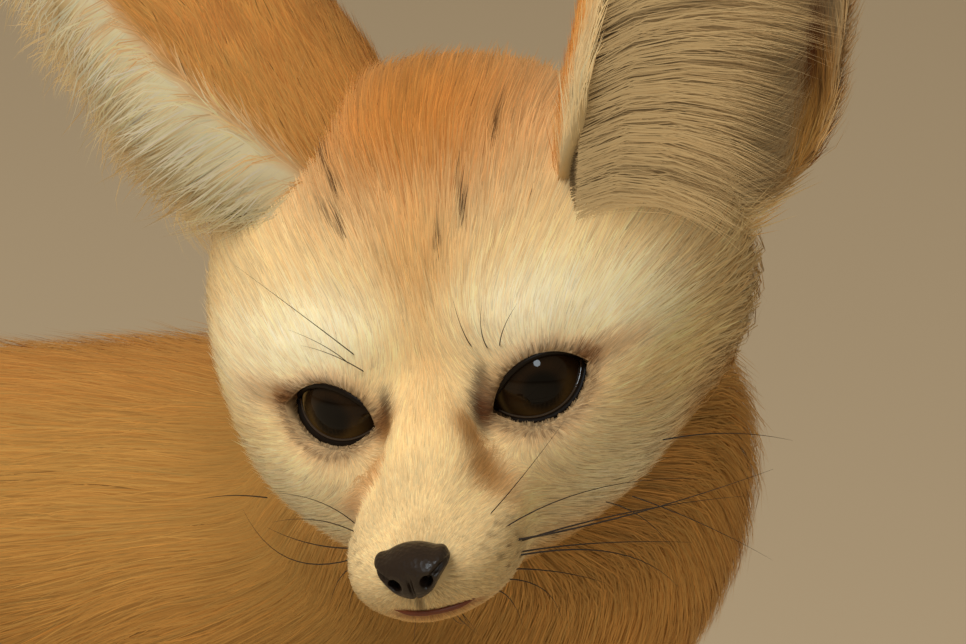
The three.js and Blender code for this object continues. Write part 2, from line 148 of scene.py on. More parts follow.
def srgb(red: float, green: float, blue: float) -> Array:
    """A colour given in 0 to 255 display values, as linear light."""
    shares = np.array([red, green, blue]) / 255.0
    return np.where(shares <= 0.04045, shares / 12.92, ((shares + 0.055) / 1.055) ** 2.4)


def turn_about(axis: int, degrees: float) -> Array:
    """The matrix of a turn about one of the frame's axes.

    Args:
        axis: 0, 1 or 2 for X, Y or Z.
        degrees: How far it turns.

    Returns:
        A 3 by 3 rotation.
    """
    cosine, sine = math.cos(math.radians(degrees)), math.sin(math.radians(degrees))
    first, second = [(1, 2), (2, 0), (0, 1)][axis]
    matrix = np.eye(3)
    matrix[first, first] = matrix[second, second] = cosine
    matrix[first, second] = -sine
    matrix[second, first] = sine
    return matrix


def waves(points: Array, scale: float, seed: int) -> Array:
    """Soft mottling between -1 and 1, from a few waves that cross.

    Args:
        points: Where it is wanted.
        scale: The size of a mottle in millimetres.
        seed: Which mottling it is.

    Returns:
        One value for each point.
    """
    rng = np.random.default_rng(seed)
    total = np.zeros(len(points))
    for _ in range(7):
        heading = unit(rng.normal(size=3)) * rng.uniform(0.6, 1.7) / scale
        total += np.sin(points @ heading * math.pi + rng.uniform(0, 2 * math.pi))
    return np.clip(total / 3.2, -1.0, 1.0)


def shade(red: float, green: float, blue: float) -> Array:
    """A dataclass field whose default is a colour given in display values."""
    return field(default_factory=lambda: srgb(red, green, blue))


@dataclass(frozen=True)
class Palette:
    """Colours of the coat and the bare skin."""

    white: Array = shade(250, 243, 222)
    cream: Array = shade(236, 216, 174)
    sand: Array = shade(212, 166, 98)
    orange: Array = shade(184, 124, 56)
    rust: Array = shade(164, 98, 46)
    buff: Array = shade(188, 146, 82)
    grey: Array = shade(196, 172, 132)
    brown: Array = shade(74, 47, 27)
    black: Array = shade(30, 21, 15)
    lip: Array = shade(140, 66, 38)
    umber: Array = shade(186, 138, 80)
    # Reddish skin darkened as painted shade, for the pocket in the ear's fold.
    shaded_pink: Array = shade(84, 42, 22)


HUE = Palette()


class Stance:
    """Where the body and the head stand in the world, worked out from the frame."""

    def __init__(self) -> None:
        """Reads the two eyes' places."""
        eyes = [np.mean([np.array(c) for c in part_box(n)], axis=0) for n in ("eye_left", "eye_right")]
        middle = np.mean(eyes, axis=0) / METRE
        self.turn = (
            turn_about(2, HEAD_TURN["yaw"])
            @ turn_about(0, HEAD_TURN["nod"])
            @ turn_about(1, HEAD_TURN["tilt"])
        )
        self.head = middle - self.turn @ np.array([0.0, EYE_PLACE[1], 0.0])
        self.shift = self.head - np.array(HEAD_PLACE)

    def from_head(self, points: Array) -> Array:
        """Points of the head's frame, in the world."""
        return points @ self.turn.T + self.head

    def to_head(self, points: Array) -> Array:
        """World points, in the head's frame."""
        return (points - self.head) @ self.turn

    def from_body(self, points: Array) -> Array:
        """Points of the body's frame, in the world."""
        return points + self.shift

    def to_body(self, points: Array) -> Array:
        """World points, in the body's frame."""
        return points - self.shift


def spline(rows: Array, share: Array) -> Array:
    """A smooth curve through evenly spaced rows.

    Args:
        rows: The rows it passes through.
        share: Where along it, from 0 to 1.

    Returns:
        One row for each share.
    """
    place = np.clip(share, 0.0, 1.0) * (len(rows) - 1)
    low = np.minimum(place.astype(int), len(rows) - 2)
    f = (place - low)[:, None]
    padded = np.vstack([2 * rows[0] - rows[1], rows, 2 * rows[-1] - rows[-2]])
    p0, p1, p2, p3 = (padded[low + i] for i in range(4))
    return 0.5 * (
        2 * p1 + (p2 - p0) * f + (2 * p0 - 5 * p1 + 4 * p2 - p3) * f**2
        + (3 * p1 - p0 - 3 * p2 + p3) * f**3
    )


@dataclass(frozen=True)
class Form:
    """A body form lofted through rings of x, y, z, half-width, reach above, reach below and the
    depth of the coat over the skin there, out to the coat's tips."""

    region: Region
    rings: tuple[tuple[float, ...], ...]
    roundness: float = 3.0
    facing: Triple | None = None
    in_head: bool = False
    around: int = 40
    along: int = 40

    def sections(self, share: Array) -> tuple[Array, Array, Array, Array]:
        """The sections at some shares of the run.

        Args:
            share: Where along the run, from 0 to 1.

        Returns:
            The rows of the rings, and the run, side and up directions.
        """
        rows = spline(np.array(self.rings), share)
        if self.facing is None:
            ends = [spline(np.array(self.rings), share + step)[:, :3] for step in (-0.004, 0.004)]
            run = unit(ends[1] - ends[0])
        else:
            run = np.tile(np.array(self.facing), (len(share), 1))
        side = unit(np.array([1.0, 0.0, 0.0]) - run[:, :1] * run)
        return rows, run, side, np.cross(run, side)

    def surface(self, share: Array, angle: Array, inset: float = 1.0) -> Array:
        """Points on the form.

        Args:
            share: Where along the run.
            angle: The angle round it, in radians.
            inset: The share of the coat's depth that the point lies under the tips.

        Returns:
            The points.
        """
        rows, run, side, up = self.sections(share)
        end = 2 * share - 1
        cap = np.sqrt(np.maximum(0.0, 1 - np.abs(end) ** (2 * self.roundness)))[:, None]
        sine, cosine = np.sin(angle)[:, None], np.cos(angle)[:, None]
        half = rows[:, 3:4]
        tall = np.where(sine > 0, rows[:, 4:5], rows[:, 5:6])
        out = unit(side * cosine * tall + up * sine * half)
        out = out * cap + run * np.sign(end)[:, None] * np.sqrt(1 - cap * cap)
        point = rows[:, :3] + side * cosine * half * cap + up * sine * tall * cap
        return point - out * rows[:, 6:7] * inset

    def add_to(self, bm: BMesh, stance: Stance) -> None:
        """Adds the form's skin to a mesh, in the world.

        Args:
            bm: The mesh it goes into.
            stance: Where the body and the head stand.
        """
        made = bmesh.ops.create_uvsphere(
            bm, u_segments=self.around, v_segments=self.along, radius=1.0
        )["verts"]
        ball = np.array([v.co for v in made])
        points = self.surface((1 - ball[:, 2]) / 2, np.arctan2(ball[:, 1], ball[:, 0]))
        place = stance.from_head if self.in_head else stance.from_body
        move_to(made, place(points))

    def locate(self, points: Array) -> tuple[Array, Array, Array]:
        """Where points lie in the form.

        Args:
            points: Points in the form's own frame.

        Returns:
            Each point's share of the run, angle round it and distance from the skin over its reach.
        """
        shares = np.linspace(0.0, 1.0, 48)
        rows, run, side, up = self.sections(shares)
        gap = np.linalg.norm(points[:, None, :] - rows[None, :, :3], axis=2)
        near = np.argmin(gap, axis=1)
        away = points - rows[near, :3]
        sideways = dot(away, side[near])[:, 0]
        upward = dot(away, up[near])[:, 0]
        tall = np.where(upward > 0, rows[near, 4], rows[near, 5]) - rows[near, 6]
        half = rows[near, 3] - rows[near, 6]
        reach = np.hypot(sideways / half, upward / tall)
        along = dot(away, run[near])[:, 0] / half
        return shares[near], np.arctan2(upward / tall, sideways / half), np.hypot(reach, along)


# Body forms, each from one end to the other
TRUNK = Form(
    Region.TORSO,
    (
        (0, 118, SPINE_HEIGHT - 4, 18, 18, 20, 4),
        (0, 102, SPINE_HEIGHT - 2, 32, 33, 34, 4.4),
        (0, 74, SPINE_HEIGHT, 38, 40, 37, 4.4),
        (0, 36, SPINE_HEIGHT, CHEST_HALF - 4, 42, 34, 4.4),
        (0, -4, SPINE_HEIGHT, CHEST_HALF - 2, 44, 37, 4.6),
        (0, -44, SPINE_HEIGHT, CHEST_HALF, 50, 42, 5.2),
        (0, -80, SPINE_HEIGHT + 3, CHEST_HALF + 1, 51, 44, 6.5),
        (0, -106, SPINE_HEIGHT + 6, 36, 42, 38, 9),
        (0, -126, SPINE_HEIGHT + 8, 22, 26, 24, 8),
    ),
    facing=AHEAD, around=64, along=64,
)

NECK = Form(
    Region.NECK,
    (
        (0, -58, 150, 36, 34, 36, 8),
        (0, -80, 164, 38, 34, 50, 9),
        (-9, -99, 181, 39, 31, 55, 9),
        (-21, -111, 197, 39, 26, 52, 9),
        (-33, -118, 211, 30, 18, 37, 8),
    ),
    roundness=2.0,
    around=56,
)

# Each row of the tail: y, z, how much thinner it is than the bush, and the coat's depth
TAIL = Form(
    Region.TAIL,
    ((0, 292, 60, 8, 8, 8, 7),) + tuple(
        (0, y, z, *(TAIL_BUSH - less,) * 3, depth)
        for y, z, less, depth in (
            (270, 51, 9, 11), (236, 57, 0, 16), (204, 74, 0, 15), (172, 100, 3, 12),
            (144, 131, 5, 8),
        )
    ) + ((0, 112, 151, TAIL_BUSH - 6, TAIL_BUSH - 7, TAIL_BUSH - 6, 5),),
    roundness=4.0,
    along=64,
)

FORE_RINGS = (
    (20, -66, 158, 16, 24, 24, 5),
    (27, -66, 132, 17, 24, 24, 5),
    (29, -62, 108, 13, 17, 18, 3.5),
    (LEG_SPREAD + 1, -66, 82, 10, 11, 12, 2.2),
    (LEG_SPREAD, FORE_STAND, 50, 8, 8, 8.5, 1.4),
    (LEG_SPREAD, FORE_STAND - 2, 22, 8, 8, 8.5, 1.3),
    (LEG_SPREAD, FORE_STAND - 4, 8, 7, 7, 7, 1.3),
)
HIND_RINGS = (
    (20, 84, 160, 20, 28, 24, 5),
    (28, 78, 134, 19, 32, 28, 5),
    (31, 70, 106, 16, 22, 24, 4),
    (29, 88, 82, 12, 14, 14, 3),
    (27, 110, 58, 8.5, 9, 10, 1.8),
    (LEG_SPREAD + 1, 110, 34, 7.5, 8, 8, 1.4),
    (LEG_SPREAD + 1, 106, 18, 8, 8, 8, 1.3),
    (LEG_SPREAD + 1, 102, 7, 7, 6, 6, 1.3),
)
# Each leg from its shoulder or thigh to its paw
LEGS = tuple(
    Form(Region.LEG, tuple((mirror * x, *rest) for x, *rest in rings), 4.0, along=56, around=32)
    for mirror in (1, -1)
    for rings in (FORE_RINGS, HIND_RINGS)
)


@dataclass(frozen=True)
class Paw:
    """A foot with four toes, each with a claw. The place is that of the leg over it."""

    x: float
    y: float
    toe_gap: float = 5.2

    def toes(self) -> list[Triple]:
        """The toes' share to the side, and the places of their tips."""
        places = []
        for spot in (-1.5, -0.5, 0.5, 1.5):
            reach = 22 if abs(spot) < 1 else 17
            places.append((spot, self.x + spot * self.toe_gap, self.y - reach))
        return places

    def forms(self) -> list[Form]:
        """The foot's pad and toes, flat at the floor."""
        x, y = self.x, self.y
        pad = (
            (x, y + 11, 9, 6, 7, 8, 1), (x, y + 3, 11, 9, 10, 10, 1),
            (x, y - 8, 9, 10.5, 8, 8, 1), (x, y - 18, 7, 9, 5, 6, 1),
        )
        made = [Form(Region.PAW, pad, along=24, around=24)]
        for spot, toe_x, toe_y in self.toes():
            toe = (
                (x + spot * 4, toe_y + 10, 8, 3.6, 4, 5, 0.5),
                (toe_x, toe_y, 6, 3.6, 4.6, 5.4, 0.5),
                (toe_x, toe_y - 5, 4.6, 2.8, 3, 4, 0.5),
            )
            made.append(Form(Region.PAW, toe, along=16, around=16))
        return made


PAWS = tuple(
    Paw(mirror * spread, y)
    for spread, y in ((LEG_SPREAD, FORE_STAND - 4), (LEG_SPREAD + 1, HIND_STAND + 8))
    for mirror in (1, -1)
)

CRANIUM = Form(
    Region.FACE,
    (
        (0, 58, 0, 20, 20, 20, 5),
        (0, 48, 4, 35, 32, 33, 5),
        (0, 36, 7, 41, 36, 39, 4.6),
        (0, 24, 5, 41.5, 35, 38, 4.6),
        (0, 13, 2, 38.5, 29, 35, 4.2),
        (0, 5, -2, 33, 21, 29, 3.0),
        (0, -1, -6, 26, 12, 23, 2.2),
        (0, -7, -9, 18.5, 7, 17, 1.5),
        (0, -12, -11, 11, 4, 10, 1.2),
    ),
    roundness=5.0, facing=AHEAD, in_head=True, around=64, along=56,
)

BRIDGE = Form(
    Region.FACE,
    (
        (0, 20, 8, 13, 20, 20, 3),
        (0, 8, 4, 10, 9, 10, 1.6),
        (0, 0, 0, 8.7, 6.6, 10, 1.1),
        (0, -8, -4, 8.2, 6, 9, 0.9),
        (0, -16, -7, 7.8, 5, 8, 0.8),
        (0, -24, -9.5, 7.2, 4, 7, 0.7),
        (0, -32, -11, 6, 3.5, 6, 0.7),
    ),
    roundness=5.0, facing=AHEAD, in_head=True,
)

MUZZLE = Form(
    Region.FACE,
    (
        (0, 10, -12, 20, 10, 18, 2),
        (0, 0, -12, 16, 8.5, 16, 1.5),
        (0, -10, -13, 14, 8.5, 13.5, 1.1),
        (0, -20, -13.8, 13.6, 8, 11, 0.9),
        (0, -27, -14.2, 11.6, 6.8, 8.6, 0.8),
        (0, -31.5, -14.4, 8.5, 5.8, 6.9, 0.7),
        (0, -35, -14.4, 5.5, 4.5, 5.2, 0.6),
    ),
    roundness=5.0, facing=AHEAD, in_head=True,
)


@dataclass(frozen=True)
class Spot:
    """A soft spot of the head, on both sides of it unless it is placed on one."""

    place: Triple
    size: Triple

    def reach(self, points: Array, both: bool) -> Array:
        """The squared distance of points of the head's frame from the spot, in its sizes."""
        folded = np.column_stack([np.abs(points[:, 0]), points[:, 1:]]) if both else points
        return np.sum(((folded - np.array(self.place)) / np.array(self.size)) ** 2, axis=1)


@dataclass(frozen=True)
class Swell(Spot):
    """A soft rise or hollow of the face."""

    rise: float
    both: bool = True

    def lift(self, points: Array) -> Array:
        """How far the skin rises at points of the head's frame."""
        return self.rise * np.exp(-self.reach(points, self.both))


# The two rounds that hold the coat of the head, and how many of the skin's forms come first for it
HEAD_REACH = (Spot((0, 20, 2), (46, 48, 44)), Spot((0, -16, -12), (27, 32, 24)))
HEAD_FORMS = 3

SWELLS = tuple(Swell(*row) for row in (
    ((14, 4, 10), (9, 7, 3.5), 1.0),
    ((7, -6, -3), (3, 5, 4), -0.9),
    ((8, -27, -15.5), (4.5, 6, 4), 0.9),
    ((15, -6, -12), (5, 7, 6), -0.8),
    ((0, 3, 12), (5, 7, 7), -0.6),
    ((26, 10, -10), (9, 9, 9), 0.8),
    ((38, 30, 4), (12, 18, 17), 3.6, False),
    ((27, 54, -25), (15, 17, 15), 4.0, False),
))


class EyeSide(Enum):
    """Which eye it is. The value mirrors it."""

    LEFT = 1
    RIGHT = -1


@dataclass(frozen=True)
class Eye:
    """An eye in the head's frame, with the outline of its lids."""

    side: EyeSide
    out: float = 20.0
    up: float = 3.0
    slant: float = 15.0
    half: float = 7.7
    above: float = 5.0
    below: float = 4.8
    # How strong the painted reflections on the iris are: an olive patch that is partly the iris's own
    # tint, and a pale crescent at its rim.
    olive_and_reflection: float = 0.4
    reflected_crescent: float = 0.3

    @property
    def centre(self) -> Array:
        """The middle of the ball."""
        return np.array([self.side.value * EYE_PLACE[0], EYE_PLACE[1], EYE_PLACE[2]])

    def axes(self) -> Array:
        """The eye's across, up and gaze directions as columns, in the head's frame."""
        mirror = self.side.value
        out, up, slant = (math.radians(v) for v in (self.out, self.up, self.slant))
        gaze = np.array([mirror * math.sin(out), -math.cos(out), math.sin(up)])
        across = np.array(
            [math.cos(slant) * math.cos(out), mirror * math.sin(out), mirror * math.sin(slant)]
        )
        return square_axes(across, gaze)

    def outline(self, count: int, grow: float = 0.0) -> Array:
        """The lids' outline seen along the gaze, from the inner corner over the top and back.

        Args:
            count: How many points it has.
            grow: How far it is widened.

        Returns:
            Points across and up.
        """
        side = self.side.value * (self.half + grow)
        above, below = self.above + grow, self.below + grow
        upper = ((-side, 0), (-side * 0.55, above * 1.15), (side * 0.45, above * 1.5), (side, 0))
        lower = ((side, 0), (side * 0.55, -below * 1.35), (-side * 0.55, -below * 1.25), (-side, 0))
        points = []
        for curve in (upper, lower):
            t = np.linspace(0, 1, count // 2, endpoint=False)[:, None]
            a, b, c, d = (np.array(p, float) for p in curve)
            points.append(
                a * (1 - t) ** 3 + 3 * b * t * (1 - t) ** 2 + 3 * c * t**2 * (1 - t) + d * t**3
            )
        return np.vstack(points)

    def on_ball(self, flat: Array, radius: float) -> Array:
        """Points across and up, laid on a ball about the eye's centre, in the head's frame."""
        depth = np.sqrt(np.maximum(radius**2 - np.sum(flat**2, axis=1), 1.0))
        return np.column_stack([flat, depth]) @ self.axes().T + self.centre

    def edge_distance(self, points: Array) -> tuple[Array, Array]:
        """How far points lie outside the lids' outline.

        Args:
            points: Points in the head's frame.

        Returns:
            The distance from the outline, seen along the gaze, and the direction away from it.
        """
        local = (points - self.centre) @ self.axes()
        outline = self.outline(40)
        gaps = np.linalg.norm(local[:, None, :2] - outline[None], axis=2)
        near = np.argmin(gaps, axis=1)
        away = local[:, :2] - outline[near] * 0.6
        flat = np.column_stack([away, np.zeros(len(points))])
        ahead = local[:, 2] > 0
        return np.where(ahead, gaps[np.arange(len(points)), near], 40.0), flat @ self.axes().T


EYES = (
    Eye(EyeSide.LEFT, half=8.0, above=4.9, below=4.7),
    Eye(EyeSide.RIGHT, half=7.6, above=4.7, below=4.4, olive_and_reflection=0.75, reflected_crescent=1.8),
)


@dataclass(frozen=True)
class Ear:
    """An ear: a sheet wrapped into a cup that opens against its own Y and has its tip along Z."""

    mirror: float
    base: Triple
    lean: float
    back: float
    open: float
    swept: float = 1.0
    plain: float = 0.0
    trim: float = 0.0
    halves: tuple[float, ...] = (0.78, 0.93, 1, 1, 0.97, 0.87, 0.68, 0.42, 0.1)
    wraps: tuple[float, ...] = (200, 190, 180, 168, 153, 136, 118, 102, 85)

    def axes(self) -> Array:
        """The ear's axes as columns, in the head's frame."""
        up = np.array([self.mirror * math.tan(math.radians(self.lean)),
                       math.tan(math.radians(self.back)), 1.0])
        turn = math.radians(self.open)
        facing = np.array([self.mirror * math.sin(turn), -math.cos(turn), 0.0])
        return square_axes(-np.cross(facing, np.array([0.0, 0.0, 1.0])), up)

    def sizes(self, t: Array) -> tuple[Array, Array]:
        """The radius and half the wrap, in radians, at heights from 0 to 1."""
        steps = np.linspace(0, 1, len(self.halves))
        wrap = np.radians(np.interp(t, steps, self.wraps) / 2)
        half = EAR_HALF * np.interp(t, steps, self.halves)
        return half / np.sin(np.minimum(wrap, math.pi / 2)), wrap

    def point(self, u: Array, t: Array, depth: Array | float) -> Array:
        """Points of the sheet in the head's frame.

        Args:
            u: The share across, from -1 to 1.
            t: The share of the height.
            depth: How far towards the ear's back.

        Returns:
            The points.
        """
        radius, wrap = self.sizes(t)
        r = radius + depth
        turn = u * wrap
        local = np.column_stack([r * np.sin(turn), r * np.cos(turn) - radius * 0.6, t * EAR_LENGTH])
        return local @ self.axes().T + np.array(self.base)

    def locate(self, points: Array) -> tuple[Array, Array, Array]:
        """The shares across and up of points of the head's frame, and their depth."""
        local = (points - np.array(self.base)) @ self.axes()
        t = np.clip(local[:, 2] / EAR_LENGTH, 0, 1)
        radius, wrap = self.sizes(t)
        y = local[:, 1] + radius * 0.6
        return np.arctan2(local[:, 0], y) / wrap, t, np.hypot(local[:, 0], y) - radius

    def add_to(self, bm: BMesh, stance: Stance) -> None:
        """Adds the ear's skin, a closed sheet, to an empty mesh.

        Args:
            bm: The mesh it goes into.
            stance: Where the head stands.
        """
        made = bmesh.ops.create_grid(bm, x_segments=44, y_segments=64, size=1.0)["verts"]
        grid = np.array([v.co for v in made])
        t = (grid[:, 1] + 1) / 2
        lead = smooth_step(0.0, 0.6, -self.mirror * grid[:, 0])
        tuck = (0.32 - 0.04 * lead) * smooth_step(0.2, 0.0, t) * smooth_step(0.0, 0.6, np.abs(
            grid[:, 0]))
        points = stance.from_head(self.point(
            grid[:, 0] * (0.985 - tuck - self.trim * lead), t, 1.0 - 0.35 * t))
        move_to(made, points)
        bmesh.ops.recalc_face_normals(bm, faces=bm.faces)
        bmesh.ops.solidify(bm, geom=bm.faces[:], thickness=-1.8)
        bmesh.ops.recalc_face_normals(bm, faces=bm.faces)


EARS = (
    Ear(1, (28, 28, 12), 23, 12, 40, swept=0.1, plain=0.16, trim=0.13),
    Ear(-1, (-11, 34, 24), 31, 8, 108),
)


@dataclass(frozen=True)
class Patch(Spot):
    """A soft patch of one colour on the head."""

    colour: Array
    strength: float = 1.0
    both: bool = True

    def over(self, points: Array, colours: Array) -> Array:
        """The colours of points of the head's frame with the patch laid over them."""
        share = self.strength * np.exp(-self.reach(points, self.both) ** 1.5)
        return blend(colours, self.colour, share)


FACE_PATCHES = tuple(Patch(*row) for row in (
    ((0, 18, 34), (21, 22, 15), HUE.orange, 0.95),
    ((20, 40, 30), (16, 22, 18), HUE.orange, 0.4),
    ((0, 5, 17), (6, 12, 8), HUE.sand, 0.6),
    ((0, -6, 4), (5, 14, 8), HUE.sand, 0.25),
    ((0, -22, -6), (8, 10, 5), HUE.cream * 0.85, 0.6),
    ((0, 38, 38), (22, 14, 8), HUE.orange * 0.7, 0.6),
    ((34, 22, 16), (12, 14, 12), HUE.cream * 0.95, 0.5),
    ((17, -1, 11), (11, 9, 6), HUE.white, 0.95),
    ((28, 6, 7), (9, 9, 6), HUE.white, 0.6),
    ((-7.8, -4.3, -1.6), (2.1, 3, 2.8), HUE.umber * 0.8, 0.9, False),
    ((-9.5, -8.5, -6.4), (2.3, 4, 3.4), HUE.umber * 0.95, 0.9, False),
    ((-11.9, -9.8, -10.8), (2.3, 5, 3.4), HUE.umber, 0.8, False),
    ((6.2, -9, -2.6), (2.8, 4, 3.4), HUE.umber * 0.8, 0.9, False),
    ((7.4, -13.6, -6.4), (3.3, 5, 3.8), HUE.umber * 0.8, 0.9, False),
    ((9.4, -15.5, -9.0), (3.0, 4.5, 3), HUE.umber * 0.85, 0.6, False),
    ((8.1, -3.8, -0.4), (1.7, 3.2, 3.6), HUE.brown * 0.7, 1.0, False),
    ((8.8, -1.8, 3.0), (1.3, 2.6, 2.4), HUE.brown * 0.8, 0.7, False),
    ((-8.2, -2.6, 0.2), (1.2, 3, 3.0), HUE.brown * 0.8, 0.9, False),
    ((21.8, 1.5, 3.0), (2.4, 4, 1.6), HUE.brown, 0.85),
    ((25, 3, 3.4), (4.5, 5, 1.8), HUE.umber * 0.75, 0.5),
    ((9, -26, -14), (8, 8, 7), HUE.cream * 0.82, 0.85),
    ((0, -30, -21), (9, 14, 4), HUE.sand * 1.15, 0.8),
    ((0, -36, -15.8), (0.6, 4, 2.2), HUE.brown, 0.7, False),
    # Next row: the head's own buff low behind the cheeks, darkened to 0.85 as painted shade there.
    ((26, 36, -8), (18, 16, 26), HUE.buff * 0.85, 0.75),
    ((0, -31, -6.5), (4.5, 5, 3), HUE.grey, 0.55),
    ((24, -2, -16), (14, 16, 11), HUE.white, 0.6),
    ((-10.8, 14.2, 26.2), (0.8, 1.8, 1.8), HUE.brown, 0.9, False),
    ((-12.8, 18.4, 30.0), (0.8, 2.2, 2.2), HUE.brown, 0.85, False),
    ((-10.0, 9.8, 21.6), (1.0, 1.2, 1.2), HUE.brown, 0.8, False),
    ((-12.4, 12.0, 23.4), (1.0, 1.6, 1.2), HUE.brown, 0.6, False),
    ((6.5, 9.4, 22.0), (0.6, 2.4, 2.4), HUE.brown, 0.95, False),
    ((2.9, 7.0, 18.6), (0.6, 1.6, 1.6), HUE.brown, 0.9, False),
    ((11.4, 18.4, 29.6), (0.7, 3.6, 2.4), HUE.brown, 0.8, False),
)) + tuple(
    Patch((11, y, z), (4.5, 0.55, 0.5), HUE.brown, 0.45)
    for y, z in (
        (-29, -11.6), (-26.4, -11.0), (-23.8, -10.6), (-21.2, -10.8),
        (-28, -13.6), (-25.2, -13.2), (-22.4, -13.0),
        (-27, -15.6), (-24, -15.4),
    )
)


def mouth_height(across: Array) -> Array:
    """How high the mouth's line runs, at places across the head."""
    return -18.5 + 0.03 * np.minimum(across - 1.0, 0.0) ** 2


def mouth_seam(head: Array, near: float, far: float) -> Array:
    """How close points are to the front of the mouth's line.

    Args:
        head: Points in the head's frame.
        near: The distance within which it is 1.
        far: The distance from which it is 0.

    Returns:
        One value for each point.
    """
    seam = np.abs(head[:, 2] - mouth_height(head[:, 0]))
    wide = smooth_step(8.5, 6.5, head[:, 0]) * smooth_step(-5.5, -3.5, head[:, 0])
    return (1 - smooth_step(near, far, seam)) * smooth_step(-20, -26, head[:, 1]) * wide


class Fields:
    """What grows at each vertex of the skin: its region, lie, length, height, width and colour."""

    def __init__(self, count: int) -> None:
        """Makes room for a number of vertices."""
        self.region = np.full(count, Region.TORSO.value)
        self.lie = np.zeros((count, 3))
        self.length = np.zeros(count)
        self.height = np.zeros(count)
        self.width = np.zeros(count)
        self.cover = np.ones(count)
        self.colour = np.zeros((count, 3))
        self.face = np.zeros(count)


class Skin:
    """The one skin under the coat, from the neck's base to the claws and the tips of the ears."""

    voxel = 1.0
    body_share = 0.42
    smoothing = 6

    def __init__(self, stance: Stance) -> None:
        """Keeps where the body stands."""
        self.stance = stance
        self.forms: list[Form] = [CRANIUM, BRIDGE, MUZZLE, TRUNK, NECK, TAIL, *LEGS]
        for paw in PAWS:
            self.forms += paw.forms()

    def build(self) -> Piece:
        """Makes the skin's mesh, in millimetres.

        Returns:
            The object, whose mesh holds an unwrap named OFBake.
        """
        bm = bmesh.new()
        for form in self.forms:
            form.add_to(bm, self.stance)
        for eye in EYES:
            ball = bmesh.ops.create_uvsphere(
                bm, u_segments=32, v_segments=24, radius=EYE_RADIUS + 1.0
            )["verts"]
            bmesh.ops.translate(bm, verts=ball, vec=self.stance.from_head(eye.centre[None])[0])
        skin = new_object("skin", bm)
        remesh = skin.modifiers.new("one_skin", "REMESH")
        remesh.mode = "VOXEL"
        remesh.voxel_size = self.voxel
        apply_modifiers(skin)
        self._smooth(skin.data)
        self._sculpt(skin.data)
        self._cut_lids(skin)
        self._thin_body(skin)
        self._flatten_soles(skin.data)
        bm = bmesh.new()
        bm.from_mesh(skin.data)
        self.body_vertices = len(bm.verts)
        for ear in EARS:
            sheet = bmesh.new()
            ear.add_to(sheet, self.stance)
            join_into(bm, sheet)
        bm.to_mesh(skin.data)
        bm.free()
        shade_smooth(skin)
        unwrap(skin)
        return skin

    def _smooth(self, mesh: Mesh) -> None:
        """Evens out the steps where forms meet, least of all on the muzzle."""
        points, links = read_points(mesh), read_edges(mesh)
        head = self.stance.to_head(points)
        nose = np.linalg.norm(head - np.array(NOSE_TIP), axis=1)
        hold = 0.15 + 0.85 * smooth_step(16.0, 40.0, nose)
        for step in range(self.smoothing * 3):
            moved = spread_along(points, links)
            share = hold if step >= self.smoothing else np.ones(len(points))
            points = points + (moved - points) * share[:, None] * 0.6
        write_points(mesh, points)

    def _sculpt(self, mesh: Mesh) -> None:
        """Raises the brows, cheeks and whisker pads and sinks the hollows beside the eyes."""
        points, normals = read_points(mesh), read_normals(mesh)
        head = self.stance.to_head(points)
        near = np.linalg.norm(head, axis=1) < 80
        lift = sum(swell.lift(head) for swell in SWELLS) * near
        lift = lift - 0.55 * mouth_seam(head, 0.2, 1.8) * near
        write_points(mesh, points + normals * lift[:, None])

    def _cut_lids(self, skin: Piece) -> None:
        """Cuts each eye's socket and the opening between its lids."""
        for eye in EYES:
            bm = bmesh.new()
            count = 48
            made = bmesh.ops.create_cone(
                bm, cap_ends=True, segments=count, radius1=1.0, radius2=1.0, depth=30.0
            )["verts"]
            outline = eye.outline(count, 0.3)
            if eye.side is EyeSide.LEFT:
                outline = outline[::-1]
            order = sorted(made, key=lambda v: (v.co.z > 0, math.atan2(v.co.y, v.co.x)))
            start = np.argmin(np.arctan2(outline[:, 1], outline[:, 0]))
            ring = np.roll(outline, -start, axis=0)
            if np.arctan2(ring[1, 1], ring[1, 0]) < np.arctan2(ring[0, 1], ring[0, 0]):
                ring = np.roll(ring[::-1], 1, axis=0)
            local = [np.array([*ring[i % count], 15.0 + order[i].co.z]) for i in range(2 * count)]
            move_to(order, self.stance.from_head(np.array(local) @ eye.axes().T + eye.centre))
            bmesh.ops.recalc_face_normals(bm, faces=bm.faces)
            if bm.calc_volume(signed=True) < 0:
                bmesh.ops.reverse_faces(bm, faces=bm.faces)
            window = new_object("window", bm)
            bm = bmesh.new()
            bmesh.ops.create_uvsphere(bm, u_segments=40, v_segments=28, radius=EYE_RADIUS + 0.25)
            bmesh.ops.translate(bm, verts=bm.verts, vec=self.stance.from_head(eye.centre[None])[0])
            socket = new_object("socket", bm)
            for cutter in (socket, window):
                cut = skin.modifiers.new("cut", "BOOLEAN")
                cut.operation = "DIFFERENCE"
                cut.solver = "MANIFOLD"
                cut.object = cutter
                apply_modifiers(skin)
            for cutter in (socket, window):
                bpy.data.objects.remove(cutter)

    def _thin_body(self, skin: Piece) -> None:
        """Makes the mesh coarser away from the head."""
        points = read_points(skin.data)
        reach = np.linalg.norm(self.stance.to_head(points) - np.array([0, 14, 0]), axis=1)
        weight = smooth_step(48.0, 62.0, reach)
        group = skin.vertex_groups.new(name="body")
        for level in np.unique(np.round(weight, 1)):
            if level > 0:
                chosen = np.nonzero(np.round(weight, 1) == level)[0]
                group.add(chosen.tolist(), float(level), "REPLACE")
        thin = skin.modifiers.new("thin", "DECIMATE")
        thin.ratio = self.body_share
        thin.vertex_group = "body"
        apply_modifiers(skin)
        skin.vertex_groups.clear()

    def _flatten_soles(self, mesh: Mesh) -> None:
        """Keeps the soles on the floor."""
        points = read_points(mesh)
        points[:, 2] = np.maximum(points[:, 2], 0.15)
        write_points(mesh, points)


